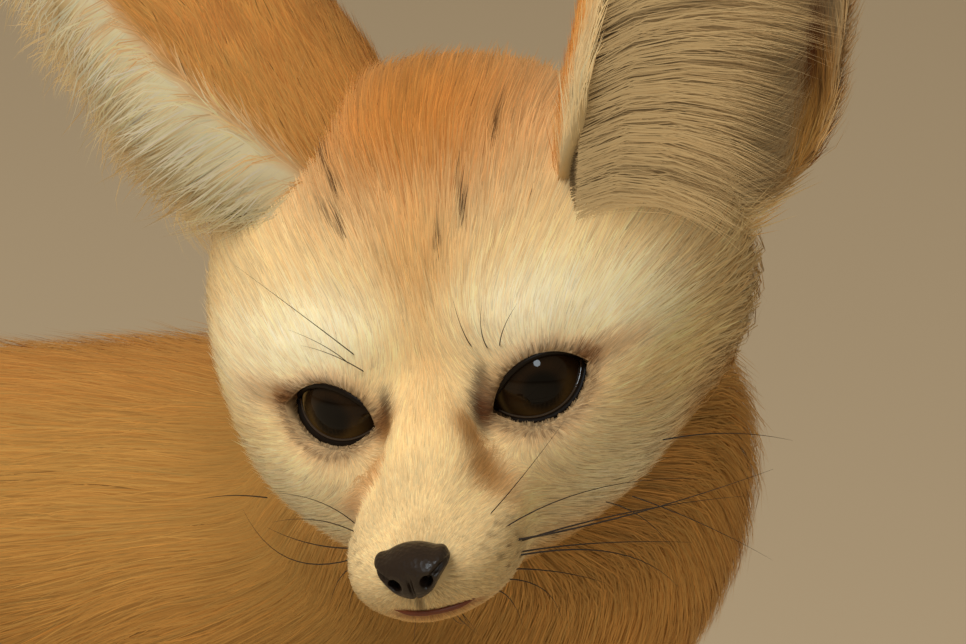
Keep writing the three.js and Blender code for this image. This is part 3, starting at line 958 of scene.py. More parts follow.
def new_object(name: str, bm: BMesh) -> Piece:
    """Puts a bmesh in a new object of the scene.

    Args:
        name: The object's name.
        bm: Its mesh, which is freed.

    Returns:
        The object.
    """
    mesh = bpy.data.meshes.new(name)
    bm.to_mesh(mesh)
    bm.free()
    return put(name, mesh)


def put(name: str, data: bpy.types.ID) -> Piece:
    """Puts an object with some data in the scene."""
    made = bpy.data.objects.new(name, data)
    bpy.context.scene.collection.objects.link(made)
    return made


def finished_mesh(piece: Piece) -> Mesh:
    """What an object comes to as a mesh."""
    graph = bpy.context.evaluated_depsgraph_get()
    graph.update()
    return bpy.data.meshes.new_from_object(piece.evaluated_get(graph))


def shade_smooth(piece: Piece) -> None:
    """Shades every face of a piece smooth."""
    piece.data.polygons.foreach_set("use_smooth", np.ones(len(piece.data.polygons), bool))


def finish_piece(name: str, bm: BMesh, finish: Material) -> Piece:
    """Makes a smooth piece of a bmesh, with its faces outwards and one finish."""
    bmesh.ops.recalc_face_normals(bm, faces=bm.faces)
    made = new_object(name, bm)
    made.data.materials.append(finish)
    shade_smooth(made)
    return made


def apply_modifiers(piece: Piece) -> None:
    """Makes an object's mesh what its modifiers give, and removes them."""
    finished = finished_mesh(piece)
    before = piece.data
    piece.modifiers.clear()
    piece.data = finished
    bpy.data.meshes.remove(before)


def move_to(verts: Iterable[bmesh.types.BMVert], points: Array) -> None:
    """Sets the places of some vertices."""
    for vertex, point in zip(verts, points):
        vertex.co = point


def join_into(target: BMesh, source: BMesh) -> None:
    """Adds one bmesh to another and frees it."""
    carrier = bpy.data.meshes.new("carrier")
    source.to_mesh(carrier)
    source.free()
    target.from_mesh(carrier)
    bpy.data.meshes.remove(carrier)


def read_rows(items: bpy.types.bpy_prop_collection, name: str, width: int,
              kind: type = np.float32) -> Array:
    """What a mesh's items hold under one name, a row for each."""
    values = np.zeros(len(items) * width, kind)
    items.foreach_get(name, values)
    return values.reshape(-1, width)


def read_points(mesh: Mesh) -> Array:
    """A mesh's vertices as an array."""
    return read_rows(mesh.vertices, "co", 3).astype(float)


def write_points(mesh: Mesh, points: Array) -> None:
    """Moves a mesh's vertices to new points."""
    mesh.vertices.foreach_set("co", points.astype(np.float32).ravel())
    mesh.update()


def read_normals(mesh: Mesh) -> Array:
    """A mesh's vertex normals as an array."""
    return read_rows(mesh.vertex_normals, "vector", 3).astype(float)


def read_edges(mesh: Mesh) -> Array:
    """A mesh's edges as pairs of vertex numbers."""
    return read_rows(mesh.edges, "vertices", 2, np.int32)


def spread_along(values: Array, links: Array) -> Array:
    """The mean of each vertex's neighbours.

    Args:
        values: One row for each vertex.
        links: The edges.

    Returns:
        The mean rows.
    """
    count = len(values)
    ends = np.concatenate([links[:, 0], links[:, 1]])
    others = np.concatenate([links[:, 1], links[:, 0]])
    number = np.maximum(np.bincount(ends, minlength=count), 1)
    columns = [np.bincount(ends, values[others, i], count) / number for i in range(values.shape[1])]
    return np.column_stack(columns)


def make_tree(points: Array, chosen: Array) -> KDTree:
    """A search tree of some points, that answers with their numbers."""
    tree = KDTree(len(chosen))
    for number in chosen:
        tree.insert(points[number], int(number))
    tree.balance()
    return tree


def unwrap(piece: Piece) -> None:
    """Gives a mesh an unwrap of its own shape, in a UV map named OFBake."""
    piece.data.uv_layers.new(name="OFBake")
    bpy.context.view_layer.objects.active = piece
    for other in bpy.context.view_layer.objects:
        other.select_set(other is piece)
    bpy.ops.object.mode_set(mode="EDIT")
    bpy.ops.mesh.select_all(action="SELECT")
    bpy.ops.uv.smart_project(angle_limit=math.radians(72), island_margin=0.002)
    bpy.ops.object.mode_set(mode="OBJECT")


class Growth:
    """Works out what grows where on the finished skin."""

    spread_steps = 24

    def __init__(self, skin: Piece, builder: Skin) -> None:
        """Reads the skin's mesh and fills its fields."""
        self.stance = builder.stance
        self.mesh = skin.data
        self.points = read_points(self.mesh)
        self.normals = read_normals(self.mesh)
        self.fields = Fields(len(self.points))
        self.body = np.arange(len(self.points)) < builder.body_vertices
        self._body(builder)
        self._ears()
        self._even_out()
        self.mesh.calc_loop_triangles()
        self.corners = read_rows(self.mesh.loop_triangles, "vertices", 3, np.int32)
        loops = read_rows(self.mesh.loop_triangles, "loops", 3, np.int32)
        self.uv = read_rows(self.mesh.uv_layers["OFBake"].data, "uv", 2)[loops]
        self.uv_of_vertex = np.zeros((len(self.points), 2))
        self.uv_of_vertex[self.corners.ravel()] = self.uv.reshape(-1, 2)
        a, b, c = (self.points[self.corners[:, i]] for i in range(3))
        self.area = np.linalg.norm(np.cross(b - a, c - a), axis=1) / 2
        self.soft_normals = self.normals
        links = read_edges(self.mesh)
        still = self.fields.face[:, None]
        for step in range(32):
            moved = unit(spread_along(self.soft_normals, links) + self.soft_normals)
            share = 1.0 if step < 8 else 1 - still
            self.soft_normals = unit(self.soft_normals * (1 - share) + moved * share)
        ear = (Region.EAR_BACK.value, Region.EAR_INSIDE.value)
        on_ear = np.isin(self.fields.region, ear)
        self.trees = {None: make_tree(self.points, np.nonzero(~on_ear)[0])}
        for side in ear:
            self.trees[side] = make_tree(self.points, np.nonzero(self.fields.region == side)[0])

    def nearest(self, points: Array, side: int | None = None) -> Array:
        """The number of the skin's vertex nearest to each point.

        Args:
            points: The points.
            side: The region to keep to when the skin is an ear's thin sheet.

        Returns:
            The vertices' numbers.
        """
        find = self.trees[side].find
        return np.fromiter((find(p)[1] for p in points), np.int64, len(points))

    def _body(self, builder: Skin) -> None:
        """Fills the fields of everything but the ears."""
        index = np.nonzero(self.body)[0]
        points = self.points[index]
        head, body = self.stance.to_head(points), self.stance.to_body(points)
        best = np.full(len(index), np.inf)
        chosen = np.zeros(len(index), int)
        shares, angles = np.zeros(len(index)), np.zeros(len(index))
        for number, form in enumerate(builder.forms):
            share, angle, reach = form.locate(head if form.in_head else body)
            miss = np.abs(reach - 1) * (0.6 if form.in_head else 1.0)
            closer = miss < best
            best = np.where(closer, miss, best)
            chosen[closer], shares[closer], angles[closer] = number, share[closer], angle[closer]
        on_head = np.any([part.reach(head, False) < 1 for part in HEAD_REACH], axis=0)
        for number, form in enumerate(builder.forms):
            here = (chosen == number) & (on_head if form.in_head else ~on_head)
            if form is NECK:
                here |= (chosen < HEAD_FORMS) & ~on_head
            if form is CRANIUM:
                here |= (chosen >= HEAD_FORMS) & on_head
            if not here.any():
                continue
            rows, run, _, _ = form.sections(shares[here])
            spot = index[here]
            if form.region is Region.FACE:
                self._face(spot, head[here], rows[:, 6])
            else:
                self._limb(form, spot, body[here], rows, run, shares[here], angles[here])

    def _face(self, spot: Array, head: Array, depth: Array) -> None:
        """Fills the fields of the head.

        Args:
            spot: The vertices' numbers.
            head: Their places in the head's frame.
            depth: The coat's depth there.
        """
        f = self.fields
        nose = head - np.array(NOSE_TIP)
        far = np.linalg.norm(nose, axis=1)
        outward = np.sign(head[:, :1]) * np.array([1.0, 0.0, 0.0])
        lie = unit(nose) + np.array([0.0, 0.35, 0.0])
        cheek = smooth_step(12, 30, head[:, 1]) * smooth_step(14, -8, head[:, 2])
        lie = unit(lie) + cheek[:, None] * (outward * 0.25 + np.array([0.0, 0.3, -0.4]))
        length = 1.3 + 3.6 * smooth_step(7, 34, far) + 5.5 * smooth_step(34, 72, far)
        rear = smooth_step(12, 30, head[:, 1]) * smooth_step(18, 34, np.abs(head[:, 0]))
        rear = rear * smooth_step(24, 8, head[:, 2])
        left = rear * smooth_step(0, 10, head[:, 0])
        ruff = smooth_step(-5, 12, head[:, 0])
        length = length + (3.5 + 5.5 * ruff) * cheek + (2.0 + 2.0 * ruff) * rear + 2.0 * left
        length = length * (1 - 0.35 * smooth_step(-14, -26, head[:, 2]))
        crown = smooth_step(24, 34, head[:, 2]) * smooth_step(26, 12, np.abs(head[:, 0]))
        lie = lie + rear[:, None] * outward * 0.4
        for eye in EYES:
            edge, away = eye.edge_distance(head)
            pull = np.exp(-((edge / 6.5) ** 2))[:, None]
            lie = unit(lie) * (1 - 0.55 * pull) + unit(away) * pull * 1.1
            length = length * (0.32 + 0.68 * smooth_step(0.3, 9.0, edge))
        f.region[spot] = Region.FACE.value
        f.face[spot] = 1.0
        f.lie[spot] = unit(lie) @ self.stance.turn.T
        f.length[spot] = length
        f.height[spot] = np.minimum(depth, 0.1 * length + 0.25) + 1.6 * crown + (
            2.0 + 2.0 * ruff) * rear
        f.width[spot] = 0.1 + 0.0075 * length
        f.colour[spot] = self.face_colour(head)
        lip = mouth_seam(head, 0.3, 0.9)
        pad = np.hypot(head[:, 0] / NOSE_HALF, (head[:, 2] - NOSE_TIP[2]) / 4.0)
        bare = (head[:, 1] < NOSE_TIP[1] + 7) & (pad < 0.95)
        f.cover[spot] = np.where(bare, 0.0, 1.0 - 0.5 * lip)

    def face_colour(self, head: Array) -> Array:
        """The markings of the head, at points of its frame, with painted shade under the jaw and low
        behind the cheeks.
        """
        colours = blend(HUE.cream, HUE.sand, smooth_step(28, 52, head[:, 1]))
        for patch in FACE_PATCHES:
            colours = patch.over(head, colours)
        # Painted shade: darker sand under the jaw and low behind the cheeks, where the head shades
        # itself; the sand there is partly the coat's own colour.
        under = smooth_step(-15, -25, head[:, 2]) * smooth_step(-16, -4, head[:, 1])
        shade_behind = smooth_step(0, 16, head[:, 1]) * smooth_step(-2, -16, head[:, 2]) * 0.7
        colours = blend(colours, HUE.sand * 0.85, np.maximum(under, shade_behind))
        for eye in EYES:
            edge, _ = eye.edge_distance(head)
            colours = blend(colours, HUE.rust * 0.9, 0.4 * np.exp(-((edge / 1.3) ** 2)))
            colours = blend(colours, HUE.brown * 0.6, 0.85 * np.exp(-((edge / 0.45) ** 2)))
        colours = blend(colours, HUE.lip, 0.5 * mouth_seam(head, 0.3, 0.9))
        return colours * (1 + 0.07 * waves(head, 9.0, 3)[:, None])

    def _limb(self, form: Form, spot: Array, body: Array, rows: Array, run: Array,
              share: Array, angle: Array) -> None:
        """Fills the fields of the neck, trunk, tail, legs and paws.

        Args:
            form: The form the vertices lie on.
            spot: The vertices' numbers.
            body: Their places in the body's frame.
            rows: The form's sections there.
            run: The form's run there.
            share: Their share of the run.
            angle: Their angle round it.
        """
        f = self.fields
        top = np.sin(angle)
        down = np.array([0.0, 0.0, -1.0])
        depth = rows[:, 6]
        f.region[spot] = form.region.value
        f.height[spot] = depth
        if form.region is Region.TORSO:
            lie = -run + down * (0.25 + 0.35 * smooth_step(0.9, -0.6, top))[:, None]
            chest = smooth_step(-84, -112, body[:, 1])
            lie = blend(lie, down + np.array([0, 0.3, 0]), chest)
            f.length[spot] = 17 + 7 * chest + 5 * smooth_step(-0.4, -0.9, top)
            f.height[spot] = depth * (0.6 - 0.15 * chest)
            f.width[spot] = 0.24
            colour = blend(HUE.buff, HUE.white, smooth_step(-0.25, -0.8, top))
            colour = blend(colour, HUE.rust, 0.35 * smooth_step(0.75, 1.0, top))
            # Painted shade: the chest and the lower flank are darkened towards deep orange, as if in
            # the shade of the head and the body.
            painted_shade = 0.4 * chest + 0.42 * (1 - chest) * smooth_step(178, 150, body[:, 2])
            colour = blend(colour, HUE.orange * 0.7, painted_shade)
        elif form.region is Region.NECK:
            lie = -run + down * 0.25
            ruff = smooth_step(-20, -4, body[:, 0]) * smooth_step(168, 184, body[:, 2])
            f.length[spot] = 15.0 + 3.0 * ruff
            f.height[spot] = depth * (0.2 + 0.4 * smooth_step(0.2, 0.9, top) + 0.25 * ruff)
            f.width[spot] = 0.18
            # The neck's own buff is darkened to 0.88 as painted shade of the head over it; the throat
            # below turns to paler sand.
            throat = smooth_step(-0.4, -0.95, top)
            colour = blend(HUE.buff * 0.88, HUE.sand * 1.05, throat)
        elif form.region is Region.TAIL:
            lie = -run
            f.length[spot] = 18 + 16 * smooth_step(1.0, 0.7, share) * smooth_step(0.0, 0.24, share)
            f.width[spot] = 0.75
            mark = smooth_step(0.86, 0.8, share) * smooth_step(0.66, 0.72, share)
            colour = HUE.buff * (1 - 0.25 * smooth_step(0.2, 0.9, top))[:, None]
            colour = blend(colour, HUE.black, smooth_step(0.42, 0.3, share))
            colour = blend(colour, HUE.brown, 0.6 * mark * smooth_step(0.3, 0.9, top))
        elif form.region is Region.LEG:
            back = smooth_step(0.55, 0.1, share)
            lie = run + back[:, None] * np.array([0, 0.9, 0])
            f.length[spot] = 4.5 + 11 * back**1.5
            f.width[spot] = 0.34 + 0.2 * back
            inner = smooth_step(0.3, -0.5, np.cos(angle) * np.sign(rows[:, 0]))
            colour = blend(blend(HUE.sand, HUE.buff, back), HUE.white, 0.8 * inner)
            colour = blend(colour, HUE.cream, 0.7 * smooth_step(0.5, 0.85, share))
        else:
            lie = np.array([0.0, -1.0, -0.25])
            f.length[spot] = 3.2
            f.width[spot] = 0.34
            f.height[spot] = 0.8
            colour = HUE.cream
        f.lie[spot] = unit(lie)
        mottle = waves(body, 16.0, 5) * 0.07 + waves(body, 6.0, 6) * 0.05
        f.colour[spot] = colour * (1 + mottle[:, None])
        f.cover[spot] = np.where(body[:, 2] < 1.2, 0.0, 1.0)

    def _ears(self) -> None:
        """Fills the fields of both ears."""
        f = self.fields
        index = np.nonzero(~self.body)[0]
        head = self.stance.to_head(self.points[index])
        first = len(index) // 2
        for number, ear in enumerate(EARS):
            part = slice(0, first) if number == 0 else slice(first, None)
            spot, here = index[part], head[part]
            u, t, depth = ear.locate(here)
            outside = depth > 0
            ahead = ear.point(u, np.minimum(t + 0.02, 1.0), depth) - ear.point(u, t, depth)
            across = ear.point(u + 0.02, t, depth) - ear.point(u, t, depth)
            lead = -ear.mirror * u
            edge = smooth_step(0.72, 0.95, np.abs(u))
            over = unit(across) * (np.sign(u) * edge * 0.35)[:, None]
            sweep = unit(across) * (ear.mirror * smooth_step(0.95, 0.45, ear.mirror * u))[:, None]
            start = np.interp(t, [0, 0.15, 0.3, 0.5, 1], [0.48, 0.56, 0.68, 0.78, 0.84])
            start = np.minimum(start + ear.plain, 0.9)
            margin = smooth_step(start - 0.04, start + 0.06, lead) * ear.swept
            outward = unit(across) * (np.sign(u) * 1.5 * margin)[:, None] - unit(ahead) * (
                1.1 * margin)[:, None]
            lie = np.where(outside[:, None], unit(ahead) + over + outward,
                           0.35 * unit(ahead) + sweep)
            f.region[spot] = np.where(outside, Region.EAR_BACK.value, Region.EAR_INSIDE.value)
            f.lie[spot] = unit(lie) @ self.stance.turn.T
            f.length[spot] = np.where(outside, 5.0 + 2.0 * edge + 8.0 * margin,
                                      12.0 - 5 * smooth_step(0.4, -0.7, lead))
            f.length[spot] += 4.0 * smooth_step(0.25, 0.05, t)
            f.height[spot] = np.where(outside, 0.8 + 0.6 * edge + 1.2 * margin, 1.8)
            f.width[spot] = 0.19
            patchy = np.clip(0.42 + 0.5 * waves(here, 5.0, 8) + 0.25 * waves(here, 2.0, 9), 0, 1)
            back = blend(HUE.sand * 1.25, (HUE.rust + HUE.umber) * 0.74, patchy)
            band = smooth_step(start - 0.3, start - 0.1, lead)
            back = blend(back, HUE.sand * 1.12, 0.8 * band)
            back = blend(back, HUE.grey * 0.85, 0.6 * smooth_step(0.15, -0.5, lead))
            back = blend(back, HUE.sand * 1.15, 0.9 * smooth_step(0.36, 0.12, t))
            rim = np.maximum(smooth_step(start - 0.06, start + 0.05, lead),
                             0.6 * smooth_step(-0.88, -0.97, lead))
            pale = HUE.white * 1.15 * ear.swept + HUE.cream * 0.85 * (1 - ear.swept)
            pale = blend(pale, HUE.cream * 0.92, smooth_step(start + 0.05, 0.95, lead))
            back = blend(back, pale, rim)
            rand = ear.mirror * u
            lobe = smooth_step(0.7, 0.9, rand) * smooth_step(0.34, 0.26, t)
            inside = blend(HUE.grey * 0.8, HUE.buff, lobe)
            swirl = smooth_step(0.04, 0.07, t) * smooth_step(0.32, 0.12, t)
            inside = blend(inside, HUE.brown, 0.6 * swirl * smooth_step(0.4, -0.4, rand))
            inside = blend(inside, HUE.cream, smooth_step(0.07, 0.03, t))
            # Painted shade: the pocket of the fold at the cup's outer margin is its own reddish skin,
            # darkened as the shade inside the fold.
            shaded_pocket = np.exp(-(((rand - 0.86) / 0.13) ** 2) - ((t - 0.27) / 0.1) ** 2)
            inside = blend(inside, HUE.shaded_pink, shaded_pocket)
            inside = blend(inside, HUE.cream, smooth_step(-0.35, -0.6, rand))
            f.colour[spot] = np.where(outside[:, None], back, inside)

    def _even_out(self) -> None:
        """Blends the fields across the joints between forms."""
        f = self.fields
        links = read_edges(self.mesh)
        rows = np.column_stack([f.lie, f.length, f.height, f.width, f.colour, f.face])
        keep = np.where(f.region == Region.FACE.value, 0.2, 0.9)
        keep = np.where(self.body, keep, 0.0)[:, None]
        for _ in range(self.spread_steps):
            rows = rows + (spread_along(rows, links) - rows) * keep
        f.lie = rows[:, :3]
        aside = np.cross(self.normals, f.lie)
        sway = 0.16 * waves(self.points, 22.0, 11) + 0.1 * waves(self.points, 8.0, 12)
        f.lie = f.lie + aside * sway[:, None]
        f.lie = unit(f.lie - dot(f.lie, self.normals) * self.normals)
        f.length, f.height, f.width = rows[:, 3], rows[:, 4], rows[:, 5]
        f.colour = np.clip(rows[:, 6:9], 0.0, 1.0)
        f.face = rows[:, 9]
        head = self.stance.to_head(self.points)
        for eye in EYES:
            inner = np.linalg.norm(head - eye.centre, axis=1) < EYE_RADIUS + 0.33
            edge, _ = eye.edge_distance(head)
            bare = inner & (edge < 6.0)
            f.colour[bare] = HUE.black * 0.7
            f.cover[edge < 0.25] = 0.0


@dataclass(frozen=True)
class Coat:
    """How the coat of one region is made of tufts."""

    name: str
    regions: tuple[Region, ...]
    slot: str
    cover: float
    nodes: int
    clump: float
    mess: float
    per_guide: int = 5
    pieces: int = 1
    dark_tips: float = 0.0
    tip_light: float = 1.12
    streaks: float = 0.03
    vary: float = 0.08
    root_shade: float = 0.86


COATS = (
    Coat("face_coat", (Region.FACE,), "face_coat", 5.8, 3, 0.16, 0.05, pieces=4, dark_tips=0.001,
         tip_light=1.22, streaks=0.07),
    Coat("neck_coat", (Region.NECK,), "body_coat", 5.0, 4, 0.1, 0.03, pieces=2, dark_tips=0.001,
         tip_light=1.04, root_shade=0.96, vary=0.05),
    Coat("torso_coat", (Region.TORSO,), "body_coat", 3.2, 4, 0.22, 0.06, pieces=2, dark_tips=0.003),
    Coat("tail_coat", (Region.TAIL,), "tail_coat", 14.0, 5, 0.4, 0.08, dark_tips=0.04),
    Coat("leg_coat", (Region.LEG,), "body_coat", 1.7, 3, 0.35, 0.07),
    Coat("paw_coat", (Region.PAW,), "leg_coat", 1.9, 3, 0.3, 0.07),
    Coat("ear_back_coat", (Region.EAR_BACK,), "ear_coat", 3.1, 3, 0.3, 0.1, dark_tips=0.008),
    Coat("ear_inside_coat", (Region.EAR_INSIDE,), "ear_coat", 3.2, 3, 0.35, 0.1),
)

# How wide a tuft is along its length, and the share of a rectangle's area that it fills.
WIDEST_AT = 0.45
FILL = 0.6
PATCH = 0.003


@dataclass
class Tufts:
    """Many tufts, each a row of nodes from root to tip."""

    nodes: Array
    normals: Array
    width: Array
    root_colour: Array
    tip_colour: Array
    uv: Array

    def part(self, chosen: Array) -> Tufts:
        """Only some of the tufts."""
        return Tufts(*(rows[chosen] for rows in vars(self).values()))

    def build(self, name: str, rng: np.random.Generator) -> Piece:
        """Makes one joined mesh of flat tapered blades.

        Args:
            name: The piece's name.
            rng: The random draws.

        Returns:
            The object, in millimetres.
        """
        count, steps, _ = self.nodes.shape
        share = np.linspace(0.0, 1.0, steps)
        run = unit(np.gradient(self.nodes, axis=1))
        across = unit(np.cross(run, self.normals))
        roll = rng.normal(0.0, 0.22, (count, 1, 1))
        across = across * np.cos(roll) + np.cross(run, across) * np.sin(roll)
        profile = np.interp(share, [0, WIDEST_AT, 1], [0.7, 1.0, 0.0])
        reach = across * (self.width[:, None] * profile[None] / 2)[:, :, None]
        pairs = np.stack([self.nodes - reach, self.nodes + reach], axis=2)[:, :-1]
        points = np.concatenate([pairs.reshape(count, -1, 3), self.nodes[:, -1:]], axis=1)
        points[:, :, 2] = np.maximum(points[:, :, 2], 0.05)
        per = points.shape[1]
        tint = np.array(share[:-1].repeat(2).tolist() + [1.0])[None, :, None]
        colours = self.root_colour[:, None] * (1 - tint) + self.tip_colour[:, None] * tint
        bent = unit(self.normals * 0.9 + unit(np.cross(across, run)) * np.sign(
            dot(np.cross(across, run), self.normals)) * 0.1)
        normals = np.concatenate([bent[:, :-1].repeat(2, axis=1), bent[:, -1:]], axis=1)
        faces = []
        for k in range(steps - 2):
            a = 2 * k
            faces += [(a, a + 1, a + 3), (a, a + 3, a + 2)]
        faces.append((per - 3, per - 2, per - 1))
        triangles = (np.arange(count)[:, None, None] * per + np.array(faces)[None]).reshape(-1, 3)
        corner = np.array([[-0.5, 0.5] * (steps - 1) + [0.0], list(tint[0, :, 0] - 0.5)]).T
        uv = self.uv[:, None] + corner[None] * PATCH
        made = mesh_from_arrays(name, points.reshape(-1, 3), triangles)
        mesh = made.data
        layer = mesh.uv_layers.new(name="OFBake")
        layer.data.foreach_set(
            "uv", np.clip(uv.reshape(-1, 2)[triangles.ravel()], 0, 1).astype(np.float32).ravel()
        )
        paint(mesh, colours.reshape(-1, 3))
        shade_smooth(made)
        mesh.normals_split_custom_set_from_vertices(normals.reshape(-1, 3))
        return made


def mesh_from_arrays(name: str, points: Array, triangles: Array) -> Piece:
    """An object from arrays of vertices and triangles.

    Args:
        name: The object's name.
        points: The vertices.
        triangles: Three vertex numbers a row.

    Returns:
        The object.
    """
    mesh = bpy.data.meshes.new(name)
    mesh.vertices.add(len(points))
    mesh.vertices.foreach_set("co", points.astype(np.float32).ravel())
    mesh.loops.add(triangles.size)
    mesh.loops.foreach_set("vertex_index", triangles.astype(np.int32).ravel())
    mesh.polygons.add(len(triangles))
    mesh.polygons.foreach_set("loop_start", np.arange(0, triangles.size, 3, dtype=np.int32))
    mesh.update(calc_edges=True)
    return put(name, mesh)


def paint(mesh: Mesh, colours: Array) -> None:
    """Stores linear colours on a mesh's vertices, in the attribute named coat."""
    layer = mesh.color_attributes.new(name="coat", type="FLOAT_COLOR", domain="POINT")
    rows = np.column_stack([colours, np.ones(len(colours))]).astype(np.float32)
    layer.data.foreach_set("color", rows.ravel())


class Grower:
    """Grows the coat's tufts on the skin."""

    def __init__(self, growth: Growth) -> None:
        """Keeps the skin's fields."""
        self.growth = growth
        self.rng = np.random.default_rng(SEED)

    def scatter(self, weight: Array, count: int) -> tuple[Array, Array]:
        """Even random places on the skin.

        Args:
            weight: How likely each triangle is.
            count: How many places.

        Returns:
            The triangle and the corner shares of each.
        """
        total = np.cumsum(weight)
        draws = (np.arange(count) + self.rng.uniform(0, 1, count)) / count * total[-1]
        triangle = np.minimum(np.searchsorted(total, draws), len(weight) - 1)
        r = np.sqrt(self.rng.uniform(0, 1, count))
        q = self.rng.uniform(0, 1, count)
        return triangle, np.column_stack([1 - r, r * (1 - q), r * q])

    def at(self, rows: Array, triangle: Array, corner: Array) -> Array:
        """A vertex field's values at places on the skin."""
        picked = rows[self.growth.corners[triangle]]
        if picked.ndim == 2:
            return np.sum(picked * corner, axis=1)
        return np.sum(picked * corner[:, :, None], axis=1)

    def guides(self, root: Array, length: Array, height: Array, nodes: int,
               side: int | None) -> tuple[Array, Array]:
        """Guide hairs that follow the lie of the coat over the skin.

        Args:
            root: Where they grow.
            length: Their lengths.
            height: How high their tips stand over the skin.
            nodes: How many nodes each has.
            side: The region to keep to on an ear's sheet.

        Returns:
            The nodes and the skin's normals at them.
        """
        g = self.growth
        place = root.copy()
        near = g.nearest(place, side)
        lie = g.fields.lie[near]
        soft = g.soft_normals if side is None else g.normals
        path, facing = [root], [soft[near]]
        for k in range(1, nodes):
            lie = unit(0.35 * lie + g.fields.lie[near])
            place = place + lie * (length / (nodes - 1))[:, None]
            near = g.nearest(place, side)
            normal = g.normals[near]
            place = place - normal * dot(place - g.points[near], normal) * 0.85
            rise = 1 - (1 - k / (nodes - 1)) ** 1.9
            path.append(place + normal * (height * rise)[:, None])
            facing.append(soft[near])
        return np.stack(path, axis=1), np.stack(facing, axis=1)

    def grow(self, coat: Coat) -> list[Piece]:
        """Grows one region's coat.

        Args:
            coat: How it is made.

        Returns:
            Its pieces.
        """
        g, f, rng = self.growth, self.growth.fields, self.rng
        wanted = np.isin(f.region, [r.value for r in coat.regions]) * f.cover
        dense = wanted * coat.cover / (FILL * f.length * f.width)
        weight = g.area * np.mean(dense[g.corners], axis=1)
        count = int(weight.sum())
        guide_count = max(count // coat.per_guide, 200)
        triangle, corner = self.scatter(weight, guide_count)
        root = self.at(g.points, triangle, corner)
        length = self.at(f.length, triangle, corner) * rng.uniform(0.88, 1.12, guide_count)
        height = self.at(f.height, triangle, corner) * rng.uniform(0.88, 1.1, guide_count)
        ear = coat.regions[0] in (Region.EAR_BACK, Region.EAR_INSIDE)
        side = coat.regions[0].value if ear else None
        paths, facing = self.guides(root, length, height, coat.nodes, side)
        tree = make_tree(root, np.arange(guide_count))
        triangle, corner = self.scatter(weight, count)
        place = self.at(g.points, triangle, corner)
        near = np.fromiter((tree.find(p)[1] for p in place), np.int64, count)
        share = np.linspace(0, 1, coat.nodes)[None, :, None]
        offset = (place - root[near])[:, None]
        draw_in = coat.clump * rng.uniform(0.4, 1.4, (count, 1, 1))
        nodes = paths[near] + offset * (1 - draw_in * share**1.4)
        stray = rng.normal(0, 1, (count, 1, 3)) * (length[near] * coat.mess)[:, None, None]
        nodes = nodes + stray * share**1.5
        nodes = place[:, None] + (nodes - place[:, None]) * rng.uniform(0.72, 1.12, (count, 1, 1))
        nodes[:, 0] = place
        normals = facing[near]
        under = dot(nodes[:, 1:] - place[:, None], normals[:, :1])
        nodes[:, 1:] += normals[:, :1] * np.maximum(0.08 - under, 0) * (under < 0) * 0.2
        base = self.at(f.colour, triangle, corner)
        if Region.FACE in coat.regions:
            own = smooth_step(0.5, 0.95, self.at(f.face, triangle, corner))
            base = blend(base, g.face_colour(g.stance.to_head(place)), own)
        light = rng.normal(1.0, coat.vary, (count, 1))
        light = light * rng.normal(1.0, coat.streaks, (guide_count, 1))[near]
        warm = rng.normal(0.0, 0.04, (count, 1)) * np.array([1.0, 0.0, -1.0])
        base = np.clip(base * light * (1 + warm), 0.004, 0.95)
        tip = np.clip(base * rng.uniform(0.94, coat.tip_light, (count, 1)), 0, 0.95)
        dark = rng.uniform(0, 1, count) < coat.dark_tips
        tip[dark] = HUE.brown * 0.9
        width = self.at(f.width, triangle, corner) * rng.uniform(0.75, 1.25, count)
        uv = np.sum(g.uv[triangle] * corner[:, :, None], axis=1)
        tufts = Tufts(nodes, normals, width, base * coat.root_shade, tip, uv)
        order = np.argsort(place[:, 0] if coat.pieces < 3 else place[:, 1], kind="stable")
        made = []
        for number, chosen in enumerate(np.array_split(order, coat.pieces)):
            name = coat.name if coat.pieces == 1 else f"{coat.name}_{number + 1}"
            made.append(tufts.part(chosen).build(name, rng))
        log.info("%s: %d tufts in %d pieces", coat.name, count, coat.pieces)
        return made


